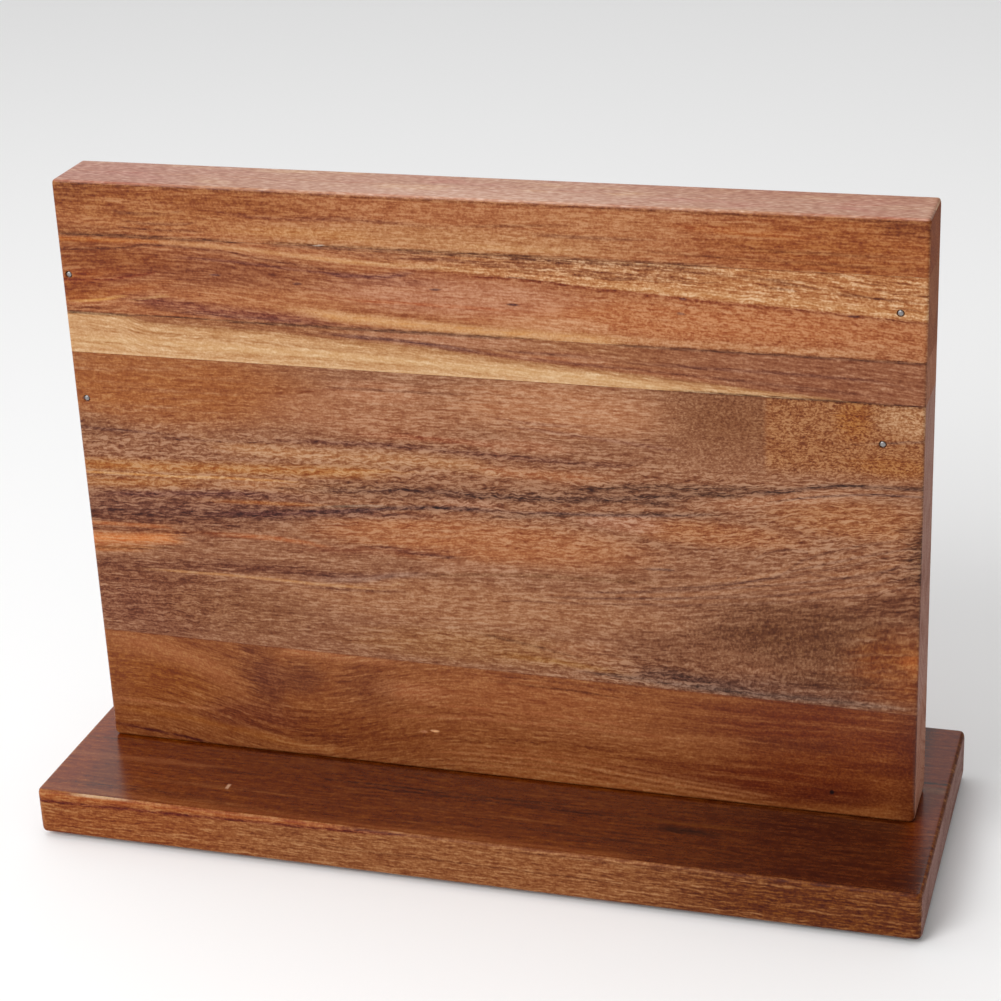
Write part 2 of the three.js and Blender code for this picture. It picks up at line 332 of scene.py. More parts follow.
class Grain:
    """The coordinates of one piece of wood and what is painted along its fibres.

    x runs along the fibres, y through the thickness and z across the face, in mm from the given middle
    and foot. v is z with a slight wander, so that what is drawn by it runs in wood's wavering lines.
    w also follows the slope of the growth rings: the fibres run where w is constant.
    light is how brightly the studio lights this piece, and haze how much white its gloss adds.
    """

    def __init__(self, material, seed, middle=0.0, foot=0.0, flip=1.0, light=1.0, haze=FACE_HAZE):
        self.material = material
        self.tree = material.node_tree
        self.seed = seed
        self.light = light
        self.haze = haze
        position = self.tree.nodes.new("ShaderNodeTexCoord").outputs["Object"]
        parts = self.tree.nodes.new("ShaderNodeSeparateXYZ")
        self.tree.links.new(position, parts.inputs[0])
        self.x = (Field(self.tree, parts.outputs[0]) / MM - middle) * flip
        self.y = Field(self.tree, parts.outputs[1]) / MM * flip
        self.z = Field(self.tree, parts.outputs[2]) / MM - foot
        self.v = self.z
        self.w = self.z
        self.colour = None

    def tone(self, red, green, blue):
        """The colour that this piece has to be to show as this one in the picture."""
        return seen(red, green, blue, self.light, self.haze)

    def noise(self, along, through, across, detail=2.0, roughness=0.55, lane=0.0, follow=True):
        """Smooth noise from -1 to 1, with spots of the given lengths along, through and across.

        Each lane is another noise. One that doesn't follow the growth rings keeps to x, y and z.
        """
        vector = self.tree.nodes.new("ShaderNodeCombineXYZ")
        feed(self.tree, vector.inputs[0], self.x / along)
        feed(self.tree, vector.inputs[1], self.y / through)
        feed(self.tree, vector.inputs[2], (self.w if follow else self.z) / across)
        node = self.tree.nodes.new("ShaderNodeTexNoise")
        node.noise_dimensions = "4D"
        node.inputs["Scale"].default_value = 1.0
        node.inputs["Detail"].default_value = detail
        node.inputs["Roughness"].default_value = roughness
        node.inputs["W"].default_value = self.seed + lane
        self.tree.links.new(vector.outputs[0], node.inputs["Vector"])
        return (Field(self.tree, node.outputs["Fac"]) - 0.5) * NOISE_GAIN

    def curve(self, points):
        """A line drawn along the piece through points (x, z), with the scale and the low end of its z."""
        xs = [x for x, _ in points]
        zs = [z for _, z in points]
        span, low, high = xs[-1] - xs[0], min(zs), max(zs)
        height = max(high - low, 0.01)
        node = self.tree.nodes.new("ShaderNodeFloatCurve")
        line = node.mapping.curves[0]
        while len(line.points) < len(points):
            line.points.new(0.5, 0.5)
        for point, (x, z) in zip(line.points, points):
            point.location = ((x - xs[0]) / span, (z - low) / height)
            point.handle_type = "AUTO"
        node.mapping.update()
        feed(self.tree, node.inputs["Value"], self.x.math("MULTIPLY_ADD", 1 / span, -xs[0] / span))
        return Field(self.tree, node.outputs[0]), height, low

    def level(self, points):
        """The height at each x of the line through points (x, z)."""
        line, height, low = self.curve(points)
        return line * height + low

    def grow(self, colour, slope=0.0, wander=1.0, ripple=0.1, tilt=0.3):
        """Sets the ground colour and the run of the growth rings, and makes the streaks and the fibres.

        slope is how high the rings have climbed at each place, and ripple how far the fibres weave up
        and down over a few millimetres. Both are numbers or fields.
        """
        slow = self.noise(80, 20, 16, detail=1.0, lane=1, follow=False) * (0.8 * wander)
        quick = self.noise(15, 5, 3.5, detail=1.0, lane=2, follow=False) * (0.2 * wander)
        weave = self.noise(4.4, 3, 3.0, detail=1.0, lane=3, follow=False) * ripple
        self.v = self.z + (self.y - BOARD_LOW.y) * tilt + slow + quick
        self.w = self.v + weave - slope
        self.streaks = self.noise(46, 2.4, 2.0, detail=2.0, lane=4)
        self.lines = self.noise(11, 1.4, 0.8, detail=1.0, lane=5)
        self.fibre = self.noise(3.0, 1.2, 0.7, detail=2.0, roughness=0.6, lane=6)
        self.speckle = self.noise(0.75, 1.0, 0.7, detail=1.0, lane=7)
        self.broken = self.fibre * 0.5 + self.lines * 0.5 + 1.0
        self.ragged = self.streaks + self.lines * 0.5
        self.colour = self.tone(*colour)

    def blend(self, colour, amount):
        """Mixes a shader's colour in, by a field or a number from 0 to 1."""
        self.colour = mixed(self.tree, self.colour, colour, amount)

    def tint(self, colour, amount):
        """Mixes in a colour given as it shows in the picture."""
        self.blend(self.tone(*colour), amount)

    def deepen(self, amount):
        """Steeps the colour, deeper and redder above 0 and paler below it, as more or less dye would."""
        node = self.tree.nodes.new("ShaderNodeGamma")
        feed(self.tree, node.inputs["Color"], self.colour)
        feed(self.tree, node.inputs["Gamma"], amount + 1.0)
        self.colour = node.outputs[0]

    def stroke(self, colour, points, width, strength=1.0, fade=12.0, ragged=10.0, across=None):
        """A streak of colour along the line through points, tapering out over fade at its ends."""
        line, height, low = self.curve(points)
        self.colour = STROKE.use(
            self.tree, ground=self.colour, colour=self.tone(*colour), along=self.x, ragged=self.ragged,
            reach=ragged, across=across or self.v, line=line, height=height, low=low, width=width * 1.25,
            strength=strength, broken=self.broken, start=points[0][0], end=points[-1][0], fade=fade * 2.0)

    def seam(self, colour, points, width=0.4, strength=0.8, fade=6.0):
        """A line that follows a cut edge of the wood, not its growth rings. Dark ones along the joints stand
        both for glue and for painted shade in the joint's groove.
        """
        self.stroke(colour, points, width, strength, fade, 3.0, across=self.z)

    def patch(self, colour, place, size, strength=1.0, ragged=0.0):
        """A soft spot of colour, size being its half length and half height."""
        self.colour = PATCH.use(
            self.tree, ground=self.colour, colour=self.tone(*colour), along=self.x, across=self.v,
            ragged=self.ragged, reach=ragged, middle=place[0], height=place[1], length=size[0],
            width=size[1], strength=strength)

    def marks(self, *rows):
        """Draws rows in turn.

        A row with a list of points is a streak: its colour, the points (x, z), its width, strength, fade
        and raggedness. A row with one place is a patch: its colour, the place, its half length and half
        height, its strength and raggedness.
        """
        for row in rows:
            if isinstance(row[1], list):
                self.stroke(*row)
            else:
                self.patch(*row)

    def vary(self, dark, light, amount=0.6):
        """Tints the streaks, dark one way and light the other."""
        self.tint(dark, self.ragged.rise(0.1, 1.4) * amount)
        self.tint(light, self.ragged.rise(-0.1, -1.4) * amount)

    def fibres(self, dashes=0.3, lines=0.2, speckle=0.2, streaks=0.1, pores=0.2, palest=-0.3):
        """The wood's light and dark in short dashes, longer lines, specks and broad streaks, with dark pores.

        The dashes, lines and specks together make nothing paler than palest.
        """
        depth = self.fibre * dashes + self.lines * lines + self.speckle * speckle
        self.deepen(depth.math("MAXIMUM", palest) + self.streaks * streaks)
        pore = seen(*PORE_TONE, self.light, FACE_HAZE)
        self.blend(pore, (self.fibre + self.speckle * 0.5).rise(0.5, 1.3) * pores)


# ==== The wood, one function for each plank ====
def paint_stave_1(grain):
    """Red-brown, with the smoky swirl of a buried knot and pale lines along the foot."""
    bowl = (grain.x + 74).bell(66) * -12.0
    grain.grow((133, 79, 49), slope=bowl, wander=1.1, ripple=0.35)
    grain.marks(
        ((127, 70, 38), (-132, 30), (36, 18), 0.75, 6),
        ((146, 88, 55), (12, 33), (58, 12), 0.8, 10),
        ((140, 86, 55), (55, 22), (60, 8), 0.6, 10),
        ((106, 54, 33), (122, 30), (60, 22), 0.85, 10),
        ((100, 50, 32), (100, 10), (60, 10), 0.8, 10),
        ((110, 58, 37), (-60, 12), (50, 10), 0.5, 10),
    )
    grain.vary((108, 57, 37), (162, 100, 65), 0.25)
    grain.marks(
        ((172, 112, 73), [(-146, 41), (-125, 38), (-110, 33), (-98, 26)], 6.5, 0.45, 12, 4),
        ((172, 110, 73), [(-80, 41), (-70, 43), (-55, 42)], 3.0, 0.5, 5, 4),
        ((166, 106, 71), (-32, 31), (20, 5), 0.5, 4),
        ((164, 106, 70), (-46, 42.4), (18, 3), 0.5, 6),
        ((100, 56, 42), (-90, 36), (10, 14), 0.45, 6),
        ((92, 50, 42), (-85, 28), (10, 13), 0.5, 5),
        ((96, 54, 42), (-72, 32), (12, 9), 0.5, 6),
        ((104, 58, 41), (-47, 30), (14, 12), 0.4, 6),
        ((102, 54, 43), (-94, 14), (26, 9), 0.6, 5),
        ((100, 52, 37), [(-102, 15), (-88, 11), (-70, 8.5), (-52, 10)], 3.0, 0.5),
        ((168, 108, 65), [(-96, 9), (-84, 6.5), (-70, 3.8), (-55, 3)], 1.8, 0.45, 6),
        ((160, 98, 59), [(-92, 13), (-82, 10), (-72, 8)], 1.4, 0.4, 6),
        ((166, 106, 69), [(-150, 16), (-128, 15.4), (-105, 16.5)], 0.9, 0.6),
        ((156, 96, 51), [(-150, 12), (-125, 11), (-100, 8), (-84, 5)], 1.8, 0.45),
        ((80, 34, 27), [(-156, 5.2), (-134, 3.6), (-108, 0.6)], 0.8, 0.8, 12, 3),
    )
    # the pale lines along the foot
    for rise, strength in ((0.0, 0.55), (-2.2, 0.4), (1.9, 0.35), (-4.4, 0.45), (3.6, 0.25)):
        line = [(-16, 7.8 + rise), (10, 8.6 + rise), (40, 7.4 + rise), (64, 5.6 + rise), (98, 2.6 + rise)]
        grain.stroke((180, 118, 77), line, 0.75, strength, ragged=24)
    grain.marks(
        ((166, 104, 69), [(-36, 20.6), (-10, 22.6), (20, 23.6), (60, 23.4)], 1.0, 0.4),
        ((168, 106, 71), [(14, 28), (32, 27.6), (50, 26.8)], 0.8, 0.4),
        ((170, 108, 71), [(-28, 26.4), (-10, 27), (6, 27.4)], 0.7, 0.4),
        ((104, 58, 39), [(2, 38.8), (24, 38.4), (46, 37.6)], 0.7, 0.6),
        ((108, 60, 41), [(6, 41), (30, 40.6), (60, 40)], 0.6, 0.5),
        ((104, 56, 37), [(-40, 15), (-20, 13.6), (10, 15.4), (50, 16)], 1.4, 0.35),
        ((92, 49, 37), (106, 25.5), (26, 3.4), 0.55, 8),
        ((90, 46, 37), (140, 20), (18, 3.4), 0.5, 6),
        ((86, 44, 31), (124, 8), (26, 5), 0.5, 6),
        ((156, 98, 60), (26, 2), (44, 3.4), 0.6, 10),
        ((222, 168, 123), (-22.4, 16.4), (2.1, 0.7), 0.9),
        ((180, 118, 85), (-26.5, 15.6), (1.8, 0.6), 0.6),
        ((44, 22, 23), (121.4, 8.8), (1.1, 1.1), 1.0),
    )
    grain.tint((84, 44, 31), grain.x.rise(138, 150) * 0.6)
    grain.seam((96, 56, 51), [(-152, 44.4), (152, 41.8)], 0.45, 0.3)
    right = grain.x.rise(40, 90)
    grain.fibres(right * -0.12 + 0.27, right * -0.14 + 0.21, 0.19, pores=0.08, palest=-0.26)


def paint_stave_2(grain):
    """Wide and brown, crossed by dark streaks that climb to the right, over a broad arched figure."""
    climb = grain.level([(-155, -6), (-60, 0), (0, 5), (60, 9), (105, 15), (155, 22)])
    slope = climb * (grain.z - 98).bell(70)
    middle = (grain.z - grain.level([(-155, 113), (0, 113), (155, 104)])).bell(30)
    left_foot = grain.x.rise(-70, -120) * (grain.z - 58).bell(26)
    right_foot = (grain.x - 70).bell(70) * (grain.z - 44).bell(16)
    right_top = grain.x.rise(94, 104) * grain.z.rise(124, 130)
    pink = (grain.x - 86).bell(44) * (grain.z - 115).bell(12)
    curl = (middle + left_foot + right_foot + right_top + pink).math("MINIMUM", 1.0)
    smoky = (grain.x - 104).bell(64) * (grain.z - 62).bell(26)
    calm = grain.x.rise(-30, -70) * grain.z.rise(120, 130)
    grain.grow((148, 100, 73), slope=slope, wander=0.9, ripple=curl * 0.55 + 0.35)
    # the broad tones
    grain.marks(
        ((156, 94, 54), (-118, 143), (78, 20), 0.95, 12),
        ((180, 125, 90), (28, 144), (55, 13), 0.85, 10),
        ((172, 116, 83), (-40, 137), (46, 11), 0.6, 10),
        ((176, 112, 72), (0, 93), (75, 11), 0.75, 14),
        ((166, 114, 80), (-10, 68), (90, 12), 0.7, 14),
        ((168, 108, 68), (128, 112), (38, 9), 0.65, 8),
        ((172, 110, 70), (80, 103), (40, 6), 0.6, 8),
        ((158, 106, 66), (-5, 52), (60, 9), 0.6, 10),
        ((168, 116, 84), (36, 54), (18, 6), 0.6, 8),
        ((180, 128, 100), (50, 104.5), (20, 4.5), 0.65, 6),
        ((172, 122, 92), (-4, 82), (22, 4), 0.6, 8),
        ((176, 124, 96), (-6, 106.5), (16, 3), 0.55, 6),
        ((128, 78, 56), (-118, 86.4), (44, 2.6), 0.5, 6),
        ((180, 124, 92), (15, 130), (24, 3.5), 0.55, 8),
        ((186, 130, 96), (-35, 146), (26, 5), 0.55, 8),
        ((122, 78, 56), (-149, 98), (18, 4), 0.6, 6),
        ((110, 64, 47), (-142, 68), (26, 5), 0.6, 8),
        ((128, 78, 55), (-114, 78), (18, 3), 0.5, 6),
        ((128, 84, 60), (-150, 125), (22, 8), 0.55, 6),
        ((124, 76, 56), (-140, 55), (50, 18), 0.85, 8),
        ((130, 82, 54), (-94, 58), (42, 14), 0.55, 8),
    )
    grain.vary((122, 76, 56), (184, 130, 94), 0.25)
    # the smoky foot at the right, and the reddish corner beside it
    grain.marks(
        ((107, 67, 47), (113, 68), (51, 17.5), 0.95, 8),
        ((108, 72, 58), (104, 47), (70, 7), 0.7, 8),
        ((118, 74, 52), (70, 56), (32, 12), 0.6, 8),
        ((134, 74, 42), (148, 58), (30, 20), 0.85, 6),
        ((182, 106, 58), (151, 62), (9, 6), 0.55, 3),
        ((106, 64, 46), (146, 81), (24, 8), 0.85, 6),
        ((118, 74, 53), (152, 110), (12, 6), 0.75, 4),
        ((110, 69, 51), (151, 93), (15, 6), 0.65, 4),
        ((102, 63, 45), (120, 52), (26, 5), 0.7, 6),
        ((80, 50, 36), (152, 100), (9, 12), 0.6, 3),
        # golden and pale streaks over the dark band
        ((188, 126, 68), [(-156, 110.5), (-110, 112), (-60, 115), (-36, 116.5)], 3.2, 0.6),
        ((176, 114, 62), [(-156, 104), (-130, 105), (-105, 107)], 2.6, 0.55),
        ((212, 158, 102), [(-152, 107.6), (-125, 108), (-95, 109.2), (-70, 110)], 0.7, 0.7),
        ((198, 144, 98), [(-98, 121.6), (-60, 121), (-20, 121.6), (0, 121)], 3.4, 0.45),
        ((190, 134, 92), [(-98, 107), (-70, 108), (-40, 110)], 2.8, 0.5),
        ((214, 158, 120), [(80, 113.6), (92, 115.4), (105, 117.6), (132, 122.4)], 3.0, 0.32),
        ((190, 128, 88), [(-2, 121), (20, 120), (44, 121)], 2.6, 0.5),
        # the thin dark line over the ripples
        ((94, 56, 50), [(-156, 125.2), (-138, 125), (-118, 124.6)], 0.9, 0.59),
        ((106, 62, 50), [(-118, 123), (-90, 123.6), (-60, 125.6), (-20, 127)], 0.9, 0.47),
        ((94, 53, 48), [(-66, 125.6), (-45, 125.8), (-10, 126), (30, 125.2), (52, 126)], 1.3, 0.45),
        ((150, 80, 52), [(-40, 129.6), (-10, 130), (4, 129)], 1.4, 0.5),
        ((110, 66, 53), [(-10, 125), (20, 125.4), (34, 125)], 1.8, 0.4, 8),
        # the broad dark band that climbs from the left
        ((115, 72, 58), [(-158, 95.5), (-130, 96), (-100, 98), (-62, 100.5)], 5.9, 0.72),
        ((91, 53, 45), [(-158, 91.6), (-130, 92.4), (-100, 95), (-70, 97)], 3.3, 0.77),
        ((106, 62, 47), [(-158, 90), (-130, 90), (-106, 90.4), (-84, 91.6)], 2.8, 0.8),
        ((97, 56, 52), [(-140, 99.6), (-112, 102), (-92, 103.6), (-76, 104)], 1.7, 0.72),
        ((176, 108, 58), [(-96, 100.4), (-80, 101), (-60, 101.6)], 1.0, 0.6),
        ((86, 51, 48), [(-96, 95.6), (-78, 97), (-60, 99.4), (-44, 101.4)], 1.7, 0.77),
        ((74, 49, 50), [(-56, 99.6), (-44, 101), (-28, 103.4), (-12, 104.4), (2, 104.8)], 1.3, 0.75),
        ((150, 124, 104), [(-58, 101.4), (-46, 102.6), (-36, 103.4)], 0.7, 0.7),
        ((104, 67, 60), [(-62, 98), (-40, 99.6), (-20, 101)], 1.8, 0.59),
        ((117, 87, 71), [(4, 102.8), (20, 104.8), (50, 108), (80, 110.6)], 1.4, 0.55),
        ((94, 64, 60), [(6, 104.8), (22, 105.8), (48, 107.4), (72, 109.6)], 0.8, 0.55),
        # the dashed band above it, and the black double line at the right
        ((117, 79, 61), [(-62, 108.4), (-30, 109.6), (0, 110.6), (40, 113.6), (75, 117.6)], 4.0, 0.64),
        ((86, 54, 48), [(-70, 107), (-44, 108.6), (-20, 110.4), (0, 110.6)], 1.3, 0.54),
        ((79, 53, 47), [(-4, 110), (15, 110.8), (36, 112), (56, 114.6), (74, 117)], 1.4, 0.58),
        ((99, 67, 53), [(36, 116), (56, 118.6), (78, 120), (100, 121)], 2.0, 0.68),
        ((68, 48, 41), (82, 117.8), (12, 1.7), 0.5, 6),
        ((80, 54, 46), (62, 113), (10, 1.8), 0.45, 6),
        ((78, 54, 49), [(92, 119), (108, 121.6), (120, 124), (134, 124.6), (158, 125.4)], 1.3, 0.7),
        ((92, 62, 57), [(104, 117.4), (118, 120), (134, 121.6), (158, 122.2)], 0.7, 0.72),
        # under the band
        ((94, 56, 50), [(-44, 87.4), (-36, 87.4), (-26, 86.6), (-12, 86.2)], 1.1, 0.72, 5),
        ((130, 72, 50), [(-64, 84.6), (-44, 86), (-10, 88.4)], 2.0, 0.5),
        ((148, 116, 102), [(-64, 72.6), (-46, 74.4), (-32, 77.4), (-20, 78.6)], 1.6, 0.5),
        ((124, 82, 68), [(-60, 74.6), (-44, 76), (-32, 79)], 1.5, 0.42),
        ((102, 62, 52), [(-100, 76), (-80, 74.6), (-60, 75), (-45, 77)], 1.5, 0.59),
        ((110, 64, 47), [(-158, 71.6), (-120, 73), (-90, 75), (-60, 76)], 3.3, 0.72),
        ((115, 67, 47), [(-158, 66), (-125, 67.4), (-95, 67)], 3.3, 0.59),
        ((196, 144, 98), [(-122, 70.8), (-90, 71.2), (-60, 71), (-38, 71.6)], 0.7, 0.7),
        ((115, 71, 55), [(-70, 69.6), (-50, 70), (-30, 71.6)], 0.9, 0.51),
        # the bright tongue at the left
        ((200, 126, 76), [(-160, 81), (-140, 82), (-128, 83), (-116, 84.6)], 3.2, 0.95, 4, 9),
        ((194, 120, 68), [(-160, 77), (-146, 77.6), (-132, 78.6)], 1.8, 0.75, 5),
        ((190, 116, 70), [(-158, 87.4), (-138, 87.8), (-116, 88.4)], 1.1, 0.6, 7, 12),
        ((110, 58, 34), [(-158, 85.2), (-140, 85.8), (-118, 86.6), (-100, 87.4)], 0.8, 0.81),
        ((117, 71, 47), [(-150, 77.6), (-138, 78.2), (-118, 80.4)], 1.1, 0.68, 6),
        ((186, 104, 58), [(-100, 87), (-84, 87.4), (-62, 86.4)], 1.2, 0.5),
    )
    # lines of the arch at the right
    for rise, start, strength in (
        (-3.0, 10, 0.3), (0.0, 22, 0.4), (2.4, 44, 0.25), (4.2, 36, 0.45),
        (7.6, 54, 0.3), (9.4, 62, 0.45), (12.6, 74, 0.3), (15.2, 88, 0.35),
    ):
        line = [(start, 74 + rise * 0.8), (start + 26, 76 + rise), (112, 84 + rise), (156, 97 + rise)]
        grain.stroke((108, 72, 60), line, 0.7, strength, ragged=30)
        grain.stroke((186, 134, 98), [(x, z + 1.4) for x, z in line], 0.8, strength * 0.6, ragged=30)
    grain.marks(
        ((94, 69, 63), [(56, 88), (62, 88.6), (68, 88.6)], 0.7, 0.68, 4),
        ((115, 76, 53), [(-6, 57.6), (12, 55), (30, 52)], 0.8, 0.59),
        ((150, 96, 44), [(2, 50), (30, 48.6), (50, 46.4)], 1.6, 0.5),
        ((188, 140, 104), [(-20, 59.6), (-6, 61.6), (14, 63)], 1.0, 0.5),
        ((88, 64, 58), [(52, 47), (62, 49), (74, 47.6), (96, 45)], 3.1, 0.47),
        ((112, 89, 78), [(40, 46), (80, 44.6), (140, 43.6)], 1.8, 0.51),
        ((120, 79, 50), [(-16, 79), (20, 82), (60, 83.4)], 1.1, 0.42),
    )
    # the smooth dark patch with its sharp edge, and the crinkled gold beside it
    edge = grain.x + grain.fibre * 1.2
    inside = grain.x.rise(52, 84) * edge.rise(99, 97) * (grain.z - 145).bell(24)
    grain.tint((131, 84, 57), inside * 0.95)
    grain.tint((150, 94, 57), edge.rise(97, 99) * grain.z.rise(124, 132) * 0.8)
    grain.marks(
        ((146, 84, 42), (127, 148), (8, 10), 0.7, 2),
        ((190, 142, 102), (146, 149), (15, 8), 0.6, 4),
        ((150, 88, 44), (140, 132), (18, 5), 0.5, 6),
        ((115, 85, 73), [(134, 140.4), (142, 141.2), (156, 143)], 0.7, 0.59),
        # smooth upper left
        ((142, 82, 50), [(-134, 141.4), (-100, 142.6), (-66, 145)], 0.9, 0.6),
        ((138, 78, 48), [(-96, 142), (-70, 143.4), (-50, 146)], 0.7, 0.6),
        ((120, 79, 61), [(-52, 146.4), (-30, 146.6), (-6, 147)], 0.8, 0.51),
        ((127, 81, 66), [(10, 137), (40, 134.6), (68, 132)], 1.1, 0.51),
        ((120, 76, 66), [(10, 139), (26, 138.4), (34, 138.6)], 0.9, 0.42),
    )
    grain.seam((100, 57, 39), [(60, 153.4), (152, 153.4)], 0.6, 0.5)
    shade = grain.x.rise(60, 70) * edge.rise(99, 97) * grain.z.rise(122, 130)
    even = (smoky + right_top + shade).math("MINIMUM", 1.0)
    foot = grain.x.rise(-60, -110) * grain.z.rise(84, 70)
    dashes = (curl * 0.32 + 0.46) * (1.0 - even * 0.6) + right_top * 0.14 - calm * 0.16 - foot * 0.2
    lines = (curl * 0.16 + 0.3) * (1.0 - even) - calm * 0.12 - foot * 0.12
    speckle = right_top * 0.18 + even * 0.18 + curl * 0.08 + 0.2
    grain.fibres(dashes, lines, speckle, 0.08, pores=0.22 - calm * 0.14, palest=-0.26)


def paint_stave_3(grain):
    """Pale sapwood along the foot, and heartwood that comes in over it and ends by filling the width."""
    line = grain.level([
        (-160, 168.6), (-132, 167.6), (-116, 164.4), (-98, 164.4), (-80, 164.3), (-55, 163), (-25, 162),
        (5, 159.8), (30, 158.4), (60, 156.9), (100, 154.2), (125, 152.4), (160, 149),
    ])
    grain.grow((206, 158, 112), slope=line - 160.0, wander=0.45, ripple=0.3)
    grain.vary((184, 132, 84), (224, 182, 134), 0.5)
    grain.marks(
        ((226, 184, 134), [(-152, 157.4), (-80, 158.4), (0, 157), (60, 155)], 2.6, 0.45),
        ((178, 122, 76), [(-152, 162.6), (-110, 162), (-60, 161), (-20, 159.4)], 1.1, 0.45),
        ((186, 132, 84), [(-152, 158), (-130, 157.6), (-104, 158)], 0.8, 0.5),
        ((188, 134, 86), [(-90, 156.4), (-50, 156.6), (-10, 155.6)], 0.8, 0.4),
    )
    above = grain.v - line + grain.ragged * 0.6
    grain.tint((184, 132, 88), above.rise(-0.9, 0.7) * 0.9)
    grain.tint((158, 102, 68), above.rise(0.5, 2.4))
    grain.tint((153, 97, 69), grain.x.rise(20, 100) * above.rise(0.6, 2.4))
    grain.tint((124, 76, 57), above.rise(0.8, 2.5) * grain.ragged.rise(0.2, 1.4) * 0.4)
    grain.marks(
        ((186, 130, 98), (-12, 167), (44, 4.5), 0.7, 8),
        ((178, 120, 88), (30, 163), (26, 3), 0.6, 6),
        ((182, 112, 74), [(0, 162.6), (50, 160.4), (80, 158.8)], 1.6, 0.5),
        ((98, 62, 64), [(-42, 165.8), (-26, 165.2), (-14, 164.4), (-4, 163.8)], 0.9, 0.6, 7),
        ((112, 68, 60), [(-56, 166.6), (-44, 165.9), (-30, 165.2)], 0.9, 0.4),
        ((112, 66, 60), [(-16, 163.6), (2, 162.6), (14, 161.8), (44, 160.4)], 0.9, 0.45),
        ((104, 64, 60), [(6, 163.9), (24, 163.6), (40, 163.6)], 0.8, 0.4),
        ((112, 68, 58), [(60, 162.6), (90, 162.2), (118, 162), (140, 160.6)], 0.9, 0.5),
        ((112, 66, 52), [(36, 161), (62, 160), (100, 158), (128, 156.4)], 1.0, 0.55),
    )
    grain.seam((74, 48, 42), [(-152, 168.2), (-138, 168.2), (-125, 168.2)], 0.6, 0.6)
    grain.seam((78, 50, 44), [(-90, 168.3), (-30, 168.3), (10, 168.3)], 0.7, 0.5)
    grain.seam((84, 54, 46), [(46, 168.3), (90, 168.3), (152, 168.3)], 0.6, 0.5)
    grain.seam((228, 186, 142), [(-152, 154), (-40, 154), (40, 154)], 0.6, 0.6)
    grain.seam((78, 44, 36), [(70, 153.8), (152, 153.8)], 0.6, 0.65)
    heart = above.rise(0.0, 2.0)
    grain.fibres(heart * 0.04 + 0.28, heart * 0.04 + 0.24, 0.2, 0.06, pores=0.06, palest=-0.42)


